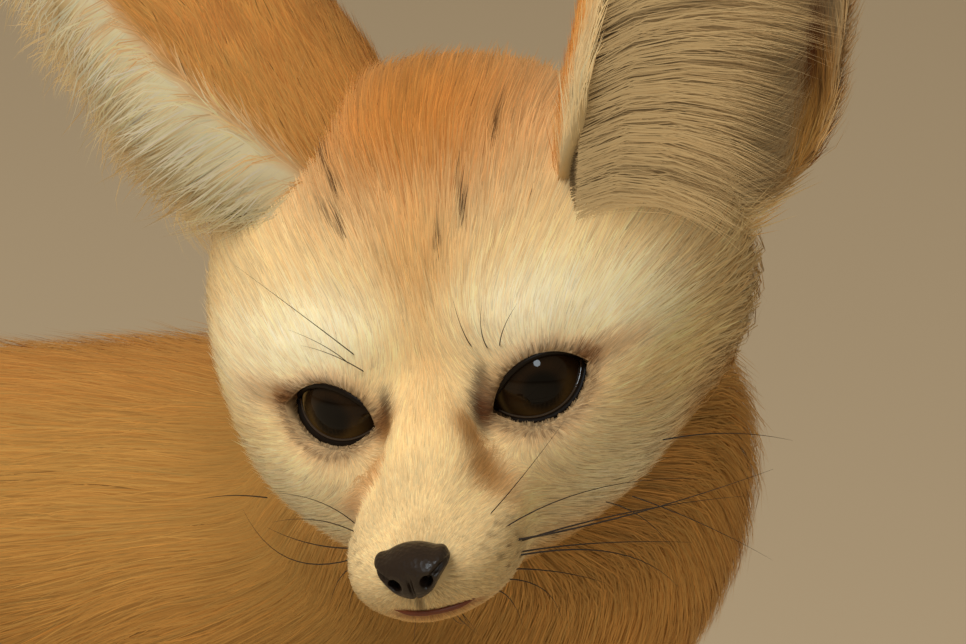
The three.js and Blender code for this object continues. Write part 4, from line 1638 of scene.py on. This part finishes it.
@dataclass(frozen=True)
class EarFringe:
    """The long pale hair that sweeps from an ear's front margin over the mouth of its cup."""

    ear: Ear
    colour: Array
    turn: float = 38.0
    length: float = 1.0
    aside: float = 0.3
    steep: float = 58.0
    level: tuple[float, ...] = (-24.0, -20.0, -8.0, 6.0, 30.0)
    count: int = 8600
    nodes: int = 5

    def tufts(self, stance: Stance, growth: Growth, rng: np.random.Generator) -> Tufts:
        """Lays out the hair: each strand leaves the margin steeply and bends over level.

        Args:
            stance: Where the head stands.
            growth: The skin's fields.
            rng: The random draws.

        Returns:
            The tufts, in the world.
        """
        ear, count = self.ear, self.count
        inward = rng.uniform(0, 1, count) ** 1.3
        t = rng.uniform(0.02, 0.93, count)
        bundle = np.round(t * 40 + rng.normal(0, 0.35, count)).astype(int) * 3 + (
            inward * 3).astype(int)
        own = np.random.default_rng(SEED + 2).normal(0, 1, (bundle.max() + 9, 4))[bundle + 4]
        u = -ear.mirror * (0.97 - ear.trim - 0.5 * inward)
        length = np.interp(t, [0, 0.15, 0.5, 0.8, 1], [23, 35, 36, 25, 10])
        length = length * self.length * (1 + 0.1 * own[:, 0]) * rng.uniform(0.75, 1.1, count)
        turn = np.radians(self.turn + 5 * own[:, 1] + rng.normal(0, 3, count) - 14 * inward)
        first = np.radians(self.steep + rng.normal(0, 6, count))
        last = np.interp(t, [0, 0.15, 0.3, 0.6, 1], self.level) + 7 * own[:, 2]
        last = np.radians(last + rng.normal(0, 3, count))
        out = np.column_stack([ear.mirror * np.sin(turn), np.cos(turn), np.zeros(count)])
        axes = ear.axes()
        place = (ear.point(u, t, -0.6) - np.array(ear.base)) @ axes
        path = [place]
        for k in range(1, self.nodes):
            share = (k - 0.5) / (self.nodes - 1)
            climb = first + (last - first) * share**0.55
            heading = np.column_stack([
                ear.mirror * np.cos(turn) * np.cos(climb), -np.sin(turn) * 0.8 * np.cos(climb),
                np.sin(climb),
            ])
            step = unit(heading) + out * (0.56 * share)
            place = place + step * (length / (self.nodes - 1))[:, None]
            path.append(place)
        local = np.stack(path, axis=1)
        world = stance.from_head((local.reshape(-1, 3) @ axes.T + np.array(ear.base)))
        nodes = world.reshape(count, self.nodes, 3)
        toward = unit(np.array([[-ear.mirror * self.aside, self.aside - 1.0, 0.15]]))
        facing = np.tile(toward @ axes.T, (count, 1)) @ stance.turn.T
        normals = np.repeat(facing[:, None], self.nodes, axis=1)
        light = np.clip(1 + 0.13 * own[:, 3:4] + rng.normal(0.0, 0.1, (count, 1)), 0.55, 1.5)
        low = np.maximum(smooth_step(0.07, 0.02, t), 0.8 * smooth_step(0.14, 0.03, inward))
        base = blend(self.colour * light, HUE.cream * 0.95, low)
        near = growth.nearest(nodes[:, 0], Region.EAR_INSIDE.value)
        return Tufts(
            nodes, normals, rng.uniform(0.11, 0.2, count), base * (0.46 + 0.54 * low)[:, None],
            np.clip(base * 1.12, 0, 0.95), growth.uv_of_vertex[near],
        )


def set_inputs(node: bpy.types.Node, values: dict[str, float | tuple[float, ...]]) -> None:
    """Sets the plain values of some of a node's sockets."""
    for name, value in values.items():
        node.inputs[name].default_value = value


def mottle_group() -> bpy.types.NodeTree:
    """The shared node group that varies a colour by soft noise.

    Returns:
        The group, made on its first use.
    """
    found = bpy.data.node_groups.get("mottle")
    if found:
        return found
    group = bpy.data.node_groups.new("mottle", "ShaderNodeTree")
    for name, way, kind in (
        ("Color", "INPUT", "Color"), ("Scale", "INPUT", "Float"), ("Amount", "INPUT", "Float"),
        ("Color", "OUTPUT", "Color"), ("Value", "OUTPUT", "Float"),
    ):
        group.interface.new_socket(name, in_out=way, socket_type="NodeSocket" + kind)
    inner, outer, where, noise, centred, scaled, vary = (
        group.nodes.new(kind)
        for kind in (
            "NodeGroupInput", "NodeGroupOutput", "ShaderNodeTexCoord", "ShaderNodeTexNoise",
            "ShaderNodeMath", "ShaderNodeMath", "ShaderNodeVectorMath",
        )
    )
    noise.inputs["Detail"].default_value = 3.0
    centred.operation = "SUBTRACT"
    centred.inputs[1].default_value = 0.5
    scaled.operation = "MULTIPLY_ADD"
    scaled.inputs[2].default_value = 1.0
    vary.operation = "SCALE"
    for start, out, end, into in (
        (where, "Object", noise, "Vector"), (inner, "Scale", noise, "Scale"),
        (noise, "Fac", centred, 0), (centred, 0, scaled, 0), (inner, "Amount", scaled, 1),
        (inner, "Color", vary, 0), (scaled, 0, vary, "Scale"), (vary, 0, outer, "Color"),
        (noise, "Fac", outer, "Value"),
    ):
        group.links.new(start.outputs[out], end.inputs[into])
    return group


@dataclass(frozen=True)
class Finish:
    """A finish whose colour the shared group mottles, with a fine grain in relief."""

    name: str

    def dress(self, inputs: dict[str, float], mottled: dict[str, float | tuple[float, ...]]
              ) -> tuple[Material, bpy.types.Node]:
        """Makes the material with its mottle.

        Args:
            inputs: The shader's plain values.
            mottled: The mottle's plain values.

        Returns:
            The material and its mottle.
        """
        material = bpy.data.materials.new(self.name)
        material.use_nodes = True
        tree = material.node_tree
        shader = tree.nodes["Principled BSDF"]
        set_inputs(shader, inputs)
        mottle = tree.nodes.new("ShaderNodeGroup")
        mottle.node_tree = mottle_group()
        set_inputs(mottle, mottled)
        tree.links.new(mottle.outputs["Color"], shader.inputs["Base Color"])
        return material, mottle

    def relief(self, material: Material, height: bpy.types.NodeSocket, strength: float,
               distance: float) -> None:
        """Raises the surface.

        Args:
            material: The material.
            height: What gives the height.
            strength: How strong the relief is.
            distance: How deep it is, in metres.
        """
        tree = material.node_tree
        bump = tree.nodes.new("ShaderNodeBump")
        set_inputs(bump, {"Strength": strength, "Distance": distance})
        tree.links.new(height, bump.inputs["Height"])
        tree.links.new(bump.outputs["Normal"], tree.nodes["Principled BSDF"].inputs["Normal"])


@dataclass(frozen=True)
class CoatFinish(Finish):
    """The finish of skin and coat, whose colour is painted on the mesh."""

    roughness: float
    sheen: float
    bump: float = 0.0
    specular: float = 0.2

    def make(self) -> Material:
        """Builds the material."""
        material, mottle = self.dress(
            {"Roughness": self.roughness, "Sheen Weight": self.sheen, "Sheen Roughness": 0.4,
             "Specular IOR Level": self.specular},
            {"Scale": 220.0, "Amount": 0.12},
        )
        tree = material.node_tree
        painted = tree.nodes.new("ShaderNodeAttribute")
        painted.attribute_name = "coat"
        tree.links.new(painted.outputs["Color"], mottle.inputs["Color"])
        if self.bump:
            self.relief(material, mottle.outputs["Value"], self.bump, 0.0004)
        return material


@dataclass(frozen=True)
class PlainFinish(Finish):
    """A finish of one colour."""

    colour: Triple
    roughness: float
    grain: float = 900.0
    bump: float = 0.15
    coat: float = 0.0
    amount: float = 0.3
    specular: float = 0.5

    def make(self) -> Material:
        """Builds the material."""
        material, _ = self.dress(
            {"Roughness": self.roughness, "Specular IOR Level": self.specular,
             "Coat Weight": self.coat, "Coat Roughness": 0.05},
            {"Color": (*srgb(*self.colour), 1.0), "Scale": self.grain, "Amount": self.amount},
        )
        tree = material.node_tree
        cells = tree.nodes.new("ShaderNodeTexVoronoi")
        cells.inputs["Scale"].default_value = self.grain
        where = tree.nodes.new("ShaderNodeTexCoord")
        tree.links.new(where.outputs["Object"], cells.inputs["Vector"])
        self.relief(material, cells.outputs["Distance"], self.bump, 0.0002)
        return material


@dataclass(frozen=True)
class Bristle:
    """One stiff hair of the head, that bends from its root through a middle point to its tip.
    Its points count outwards from the middle of the head in x."""

    mirror: float
    root: Triple
    half: Triple
    tip: Triple
    radius: float = 0.1

    def path(self, stance: Stance) -> tuple[Array, Array]:
        """Its points in the world, and a radius for each.

        Args:
            stance: Where the head stands.

        Returns:
            The points and the radii, which taper to the tip.
        """
        root = np.array(self.root, float)
        start, end = MUZZLE.rings[0][1], MUZZLE.rings[-1][1]
        if root[1] < -15:
            rows, _, _, _ = MUZZLE.sections(np.array([(start - root[1]) / (start - end)]))
            sine = np.clip((root[2] - rows[0, 2]) / rows[0, 5], -0.9, 0.9)
            root[0] = min(root[0], (rows[0, 3] - rows[0, 6]) * math.sqrt(1 - sine**2) - 0.2)
        half, tip = np.array(self.half), np.array(self.tip)
        share = np.linspace(0, 1, 14)[:, None]
        points = root + (4 * half - tip) * share + (2 * tip - 4 * half) * share**2
        points[:, 0] *= self.mirror
        return stance.from_head(points), self.radius * STOUT * (1 - share[:, 0] ** 1.3 * 0.9)


LEFT_BRISTLES = (
    ((20, -22, -10.2), (6.5, 3, 5), (13.5, 8, 11), 0.06),
    ((20, -23, -12.4), (15, 8, 2.1), (31.3, 17, -2.8), 0.07),
    ((20, -22, -13.8), (18.2, 8, -1.7), (38.4, 18, -1.7), 0.12),
    ((20, -21, -15), (16.6, 7, -0.2), (33.2, 16, -3.7), 0.1),
    ((20, -21, -16.3), (11.8, 6, -2.5), (25, 13, -7.4), 0.1),
    ((20, -21, -16.8), (14.5, 6, -3.7), (22.2, 11, -12.9), 0.1),
    ((20, -22, -17.9), (7.2, 4, -3.2), (13.6, 8, -7.9), 0.09),
    ((20, -23, -19), (6.3, 3, -3.3), (8.4, 4, -9.5), 0.08),
    ((20, -24, -19.7), (3.3, 1, -2.1), (4.6, 1, -7.1), 0.08),
    ((22, -2, -18.1), (5.5, 0, -4), (9.2, 0, -11.1), 0.06),
    ((25.6, 0, -18.6), (9.2, 1, -6.3), (18.1, 2, -13.9), 0.06),
    ((31, 4, -12), (9, 4, -2), (17, 9, -6.6), 0.08),
    ((6.8, 0.6, 8.1), (-0.4, -1.6, 4), (-0.8, -1.2, 8.6), 0.06),
    ((9.2, 0.3, 7.6), (0.2, -1.8, 4), (1.2, -1.6, 8), 0.06),
    ((11.1, 0.2, 7.8), (1.8, -1.6, 3.6), (4.4, -1.2, 6.8), 0.06),
)
RIGHT_BRISTLES = (
    ((20, -16, -11.4), (7, 6, 2.6), (16.7, 14, 1.7), 0.06),
    ((20, -21, -10.9), (8.3, 7, 0.8), (17.9, 15, -1.9), 0.07),
    ((20, -21, -12.3), (9.3, 7, -1.5), (18.2, 15, -1.2), 0.09),
    ((20, -21, -13.4), (13.6, 9, -3.2), (21.5, 17, 2.4), 0.08),
    ((20, -22, -14.8), (4.4, 2, -1.5), (8.1, 4, -6.8), 0.07),
    ((20, -23, -15.5), (3.3, 1, -2.5), (5.2, 1, -6.8), 0.06),
    ((10.9, 1.0, 9), (5.6, -1.5, 7.6), (15.4, 3, 15.4), 0.06),
    ((9.7, 0.0, 6.5), (3.7, -1.6, 4), (8.6, 0, 5.6), 0.06),
    ((12, 0.6, 8), (2.6, -2, 4.2), (7.5, -1, 7), 0.05),
    ((30, 4, -13), (7, 5, -1), (14, 12, -4), 0.07),
)
# How much thicker than listed the stiff hairs are built
STOUT = 1.45
BRISTLES = tuple(
    [Bristle(1, *row) for row in LEFT_BRISTLES] + [Bristle(-1, *row) for row in RIGHT_BRISTLES]
)


class Head:
    """The bare parts of the head: eyes, lid rims, nose, lips and whiskers."""

    def __init__(self, stance: Stance) -> None:
        """Keeps where the head stands, and the finishes."""
        self.stance = stance
        self.rng = np.random.default_rng(SEED + 1)
        self.lid_skin = PlainFinish(
            "lid_skin", (20, 14, 11), 0.4, 1400.0, 0.1, specular=0.2).make()
        self.nose_skin = PlainFinish("nose_skin", (36, 26, 21), 0.42, 1500.0, 0.5, 0.12).make()
        self.horn = PlainFinish("horn", (62, 42, 28), 0.35, 500.0, 0.1).make()
        self.hair = PlainFinish("whisker", (38, 26, 18), 0.45, 500.0, 0.0).make()

    def eyeball(self, eye: Eye) -> Piece:
        """The wet ball of one eye, with its iris and pupil painted in rings and painted reflections on
        the iris.

        Args:
            eye: Which eye.

        Returns:
            The piece.
        """
        bm = bmesh.new()
        bmesh.ops.create_uvsphere(bm, u_segments=96, v_segments=96, radius=EYE_RADIUS - 0.05)
        ball = np.array([v.co for v in bm.verts])
        off = np.degrees(np.arccos(np.clip(ball[:, 2] / np.linalg.norm(ball, axis=1), -1, 1)))
        around = np.arctan2(ball[:, 1], ball[:, 0])
        bulge = 0.2 * smooth_step(62, 4, off)[:, None]
        world = self.stance.from_head((ball + unit(ball) * bulge) @ eye.axes().T + eye.centre)
        move_to(bm.verts, world)
        made = new_object("eye_ball_" + eye.side.name.lower(), bm)
        pupil, iris = smooth_step(25, 13, off), smooth_step(54, 46, off)
        streaks = 0.5 + 0.5 * np.sin(around * 37 + 2 * np.sin(around * 11)) * np.sin(around * 23 + 1)
        brown = srgb(40, 27, 15)[None] * (0.6 + 0.4 * streaks[:, None])
        # Painted reflection: a lighter olive patch in the iris's lower half, partly the iris's own
        # tint.
        olive_and_reflection = eye.olive_and_reflection * np.exp(-(((off - 29) / 12) ** 2)) * smooth_step(0.4, -1.0, np.sin(around))
        # Painted reflection: a pale crescent at one side of the iris's rim, where the cornea would
        # mirror the bright room.
        reflected_crescent = smooth_step(0.55, 0.95, -np.cos(around + 0.3))
        reflected_crescent = eye.reflected_crescent * np.exp(-(((off - 42) / 3.0) ** 2)) * reflected_crescent
        brown = brown + srgb(100, 82, 44) * olive_and_reflection[:, None] + srgb(150, 132, 92) * reflected_crescent[:, None]
        colours = blend(blend(srgb(34, 24, 18), brown, iris), srgb(7, 5, 5), pupil)
        paint(made.data, colours)
        shade_smooth(made)
        return made

    def lid_rim(self, eye: Eye) -> Piece:
        """The dark moist rim of one eye's lids.

        Args:
            eye: Which eye.

        Returns:
            The piece.
        """
        flat = eye.outline(56)
        points = eye.on_ball(flat, EYE_RADIUS + 0.35)
        side = eye.side.value
        corner = np.clip(1 - np.abs(flat[:, 0] + side * eye.half) / 3.0, 0, 1)
        reach = eye.axes() @ np.array([-side * 1.6, -0.7, -0.2])
        points = points + corner[:, None] ** 2 * reach
        lower = smooth_step(0.5, -2.0, flat[:, 1])
        thick = 0.5 + 0.2 * lower - 0.1 * corner**2
        path = (self.stance.from_head(points), thick)
        return tubes("lid_rim_" + eye.side.name.lower(), [path], self.lid_skin, True)

    def tear_line(self, eye: Eye) -> Piece:
        """The wet line between the ball and the lower lid.

        Args:
            eye: Which eye.

        Returns:
            The piece.
        """
        flat = eye.outline(56, -0.75)[28:]
        points = eye.on_ball(flat, EYE_RADIUS + 0.08)
        side = eye.side.name.lower()
        wet = PlainFinish("wet_line_" + side, (46, 34, 30), 0.06, 300.0, 0.0, 1.0).make()
        path = (self.stance.from_head(points), np.full(len(points), 0.28))
        return tubes("tear_line_" + side, [path], wet, False)

    def nose(self) -> Piece:
        """The nose pad with its nostrils and the cleft below them."""
        tip = np.array(NOSE_TIP)
        rings = (
            (0, tip[1] + 8, tip[2], 4.4, 3.4, 3.6, 0),
            (0, tip[1] + 4, tip[2] + 0.3, NOSE_HALF, 4, 4, 0),
            (0, tip[1] + 1, tip[2], NOSE_HALF - 0.6, 3.6, 3.9, 0),
            (0, tip[1] - 1, tip[2] - 0.4, 3.4, 2.4, 2.6, 0),
        )
        bm = bmesh.new()
        Form(Region.FACE, rings, 2.0, AHEAD, True, 72, 72).add_to(bm, self.stance)
        world = np.array([v.co for v in bm.verts])
        head = self.stance.to_head(world) - tip
        folded = np.column_stack([np.abs(head[:, 0]), head[:, 1:]])
        hole = np.hypot((folded[:, 0] - 2.5) / 0.95, (folded[:, 2] + 0.9) / 1.0)
        slit = np.hypot((folded[:, 0] - 4.6) / 1.7, (folded[:, 2] - 0.15) / 0.55)
        front = smooth_step(5.5, 2.0, folded[:, 1])
        sink = 2.6 * smooth_step(1.15, 0.55, hole) * front + 1.3 * smooth_step(1.1, 0.4, slit) * front
        groove = 0.7 * smooth_step(0.55, 0.1, np.abs(head[:, 0])) * smooth_step(0.8, -1.5, head[:, 2])
        wing = 0.15 * np.exp(-((hole - 1.7) / 0.5) ** 2) * front
        narrow = head[:, 0] * -0.3 * smooth_step(0.2, -4.2, head[:, 2])
        lift = 0.9 * smooth_step(3.2, 5.4, folded[:, 0]) - 0.5 * smooth_step(1.0, 3.6, head[:, 2])
        moved = head + np.column_stack([narrow, sink + groove * front - wing, sink * 0.12 + lift])
        move_to(bm.verts, self.stance.from_head(moved + tip))
        return finish_piece("nose_pad", bm, self.nose_skin)

    def lips(self) -> Piece:
        """The dark line of the mouth."""
        share, angle = np.meshgrid(np.linspace(0.72, 0.999, 200), np.linspace(-math.pi, 0, 240))
        cloud = MUZZLE.surface(share.ravel(), angle.ravel(), 0.9)
        path = []
        for x in np.linspace(-4.6, 8.0, 30):
            near = np.hypot(cloud[:, 0] - x, cloud[:, 2] - mouth_height(np.array(x))) < 0.25
            path.append(cloud[near][np.argmin(cloud[near][:, 1])])
        path = np.array(path)
        front = smooth_step(8.0, 5.0, path[:, 0]) * smooth_step(-4.6, -2.0, path[:, 0])
        lip = PlainFinish("lip_skin", (112, 58, 38), 0.5, 900.0, 0.2, 0.0).make()
        return tubes("lips", [(self.stance.from_head(path), 0.04 + 0.36 * front)], lip, False)

    def whiskers(self) -> Piece:
        """The whiskers of both sides, and the few long hairs over the eyes and on the cheeks."""
        rng = self.rng
        paths = [hair.path(self.stance) for hair in BRISTLES]
        for mirror in (1, -1):
            for _ in range(5):
                root = (rng.uniform(1, 6), rng.uniform(-31, -24), -21.5)
                half = np.array([rng.uniform(0, 1.5), rng.uniform(-0.5, 1.5), -rng.uniform(1, 2.5)])
                hair = Bristle(mirror, root, tuple(half), tuple(half * (2.2, 3.0, 2.0)), 0.035)
                paths.append(hair.path(self.stance))
            for row in range(4):
                for k in range(7 - row):
                    root = (20, -30 + 1.9 * k + rng.uniform(-0.5, 0.5), -10.9 - 1.7 * row + rng.uniform(
                        -0.3, 0.3) - 0.06 * k)
                    half = (0.75 + rng.uniform(0, 0.3), 1.1, rng.uniform(-0.1, 0.3))
                    hair = Bristle(mirror, root, half, tuple(np.array(half) * 2.0), 0.095)
                    paths.append(hair.path(self.stance))
        return tubes("whiskers", paths, self.hair, False)

    def claws(self) -> Piece:
        """All the claws, one on each toe."""
        bm = bmesh.new()
        for paw in PAWS:
            for _, x, y in paw.toes():
                rings = tuple((x, y - ahead, z, half, half, half, 0) for ahead, z, half in (
                    (3, 6, 1.2), (7.5, 5.2, 1), (10.5, 2.6, 0.4)))
                Form(Region.PAW, rings, around=16, along=14).add_to(bm, self.stance)
        return finish_piece("claws", bm, self.horn)


def tubes(name: str, paths: Sequence[tuple[Array, Array]], finish: Material,
          closed: bool) -> Piece:
    """Round tubes along paths, as one mesh with capped ends.

    Args:
        name: The piece's name.
        paths: World points in millimetres, with a radius for each point.
        finish: The material.
        closed: Whether each path's ends meet.

    Returns:
        The piece.
    """
    curve = bpy.data.curves.new(name, "CURVE")
    curve.dimensions = "3D"
    curve.bevel_depth = 1.0
    curve.bevel_resolution = 3
    curve.resolution_u = 1
    curve.use_fill_caps = True
    for points, radius in paths:
        line = curve.splines.new("POLY")
        line.points.add(len(points) - 1)
        line.points.foreach_set("co", np.column_stack([points, np.ones(len(points))]).ravel())
        line.points.foreach_set("radius", radius)
        line.use_cyclic_u = closed
    carrier = put(name + "_path", curve)
    mesh = finished_mesh(carrier)
    bpy.data.objects.remove(carrier)
    made = put(name, mesh)
    mesh.materials.clear()
    mesh.materials.append(finish)
    shade_smooth(made)
    return made


def to_metres(piece: Piece) -> None:
    """Brings a piece's mesh from millimetres to metres."""
    piece.data.transform(Matrix.Scale(METRE, 4))
    piece.data.update()


class Fox:
    """The whole animal, built in order from skin to whiskers."""

    flesh = (
        "head", "neck", "torso", "tail", "ear_left", "ear_right",
        "leg_fore_left", "leg_fore_right", "leg_hind_left", "leg_hind_right",
        "paw_fore_left", "paw_fore_right", "paw_hind_left", "paw_hind_right",
    )

    def __init__(self) -> None:
        """Finds where the animal stands."""
        self.stance = Stance()

    def keep(self, piece: Piece, slot: str, *nodes: str) -> None:
        """Sets a finished piece in the frame.

        Args:
            piece: The piece, in millimetres.
            slot: The finish's slot in the record; not used.
            nodes: The solids that it stands for.
        """
        to_metres(piece)
        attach(piece, "root")
        if nodes:
            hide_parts(*nodes)
        log.info("%s: %d faces", piece.name, len(piece.data.polygons))

    def build(self) -> None:
        """Builds every piece."""
        builder = Skin(self.stance)
        skin = builder.build()
        log.info("skin: %d faces", len(skin.data.polygons))
        growth = Growth(skin, builder)
        grower = Grower(growth)
        coat_finish = CoatFinish("coat_hair", 0.6, 0.0).make()
        coats = [(piece, coat.slot) for coat in COATS for piece in grower.grow(coat)]
        fringes = (
            EarFringe(EARS[0], HUE.grey * 0.86, length=0.9),
            EarFringe(EARS[1], HUE.grey * 1.2, turn=68.0, length=0.85, aside=0.9, steep=20.0,
                      level=(-50.0, -40.0, -20.0, 5.0, 35.0)),
        )
        for name, made in zip(("left", "right"), fringes):
            fringe = made.tufts(self.stance, growth, grower.rng)
            coats.append((fringe.build("ear_fringe_" + name, grower.rng), "ear_coat"))
        for piece, slot in coats:
            piece.data.materials.append(coat_finish)
            piece.visible_shadow = False
            self.keep(piece, slot)
        paint(skin.data, growth.fields.colour * 0.85)
        skin.data.materials.clear()
        skin.data.materials.append(CoatFinish("bare_skin", 0.8, 0.1, 0.4).make())
        self.keep(skin, "body_coat", *self.flesh)
        self.head_parts()

    def head_parts(self) -> None:
        """Builds the eyes, nose, lips, whiskers and claws."""
        head = Head(self.stance)
        wet = CoatFinish("wet_eye", 0.04, 0.0, specular=0.22)
        for eye in EYES:
            side = eye.side.name.lower()
            ball = head.eyeball(eye)
            ball.data.materials.append(wet.make())
            self.keep(ball, "eye", "eye_" + side)
            self.keep(head.lid_rim(eye), "lid_skin")
            self.keep(head.tear_line(eye), "eye")
        self.keep(head.nose(), "nose_skin", "nose")
        self.keep(head.lips(), "lid_skin")
        self.keep(head.whiskers(), "whisker")
        self.keep(head.claws(), "claw")


@dataclass(frozen=True)
class Studio:
    """The floor, the soft lights and the camera."""

    azimuth: float = -62.0
    elevation: float = 13.0
    distance: float = 1700.0
    pixels_per_mm: float = 6.8
    eyes_at: tuple[float, float] = (438.0, 404.0)
    frame: tuple[float, float] = (966.0, 644.0)

    def directions(self) -> tuple[Vector, Vector, Vector]:
        """The camera's back, right and up directions."""
        a, e = math.radians(self.azimuth), math.radians(self.elevation)
        back = Vector((math.sin(a) * math.cos(e), -math.cos(a) * math.cos(e), math.sin(e)))
        right = Vector((math.cos(a), math.sin(a), 0.0))
        return back, right, back.cross(right)

    def camera(self, stance: Stance) -> None:
        """Places the camera at the photograph's view.

        Args:
            stance: Where the head stands.
        """
        back, right, up = self.directions()
        wide, high = self.frame
        target = Vector(stance.head)
        target += right * ((wide / 2 - self.eyes_at[0]) / self.pixels_per_mm)
        target += up * ((self.eyes_at[1] - high / 2) / self.pixels_per_mm)
        data = bpy.data.cameras.new("camera")
        data.sensor_width = 36.0
        data.lens = self.pixels_per_mm * self.distance * data.sensor_width / wide
        data.clip_start, data.clip_end = 0.05, 20.0
        camera = put("camera", data)
        camera.location = (target + back * self.distance) * METRE
        camera.rotation_mode = "QUATERNION"
        camera.rotation_quaternion = (-back).to_track_quat("-Z", "Y")
        bpy.context.scene.camera = camera

    def light(self, name: str, away: Triple, size: float, power: float, colour: Triple,
              stance: Stance) -> Piece:
        """Adds a soft area light, placed from the head in the camera's directions.

        Args:
            name: The light's name.
            away: How far towards the camera and the picture's right and top, in metres.
            size: The light's width.
            power: Its power in watts.
            colour: Its colour.
            stance: Where the head stands.

        Returns:
            The light, which isn't seen in reflections unless it is the glint.
        """
        data = bpy.data.lights.new(name, "AREA")
        data.shape = "DISK"
        data.size = size
        data.energy = power
        data.color = colour
        offset = sum((axis * step for axis, step in zip(self.directions(), away)), Vector())
        lamp = put(name, data)
        lamp.location = Vector(stance.head) * METRE + offset
        lamp.rotation_mode = "QUATERNION"
        lamp.rotation_quaternion = offset.to_track_quat("Z", "Y")
        lamp.visible_glossy = name == "glint"
        return lamp

    def build(self, stance: Stance) -> None:
        """Makes the floor, the world, the lights and the camera.

        Args:
            stance: Where the animal stands.
        """
        bm = bmesh.new()
        bmesh.ops.create_grid(bm, x_segments=1, y_segments=1, size=6.0)
        floor = new_object("floor", bm)
        finish = PlainFinish("floor_paint", (196, 184, 166), 0.7, 3.0, 0.0, amount=0.04).make()
        floor.data.materials.append(finish)
        world = bpy.data.worlds.new("studio")
        bpy.context.scene.world = world
        world.use_nodes = True
        sky = world.node_tree.nodes["Background"]
        set_inputs(sky, {"Color": (0.66, 0.52, 0.33, 1.0), "Strength": 0.45})
        self.light("key", (0.8, -1.0, 1.48), 1.5, 34.0, (1.0, 0.91, 0.75), stance)
        glint = self.light("glint", (1.36, 0.22, 0.55), 0.34, 3.6, (0.8, 0.92, 1.0), stance)
        glint.visible_diffuse = False
        self.light("fill", (1.6, 0.7, 0.2), 1.4, 2.5, (1.0, 0.82, 0.54), stance)
        bpy.context.scene.view_settings.view_transform = "Standard"
        self.camera(stance)


def main() -> None:
    """Loads the frame and dresses it."""
    logging.basicConfig(level=logging.INFO, format="%(relativeCreated)d %(message)s")
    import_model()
    fox = Fox()
    fox.build()
    Studio().build(fox.stance)


if __name__ == "__main__":
    main()
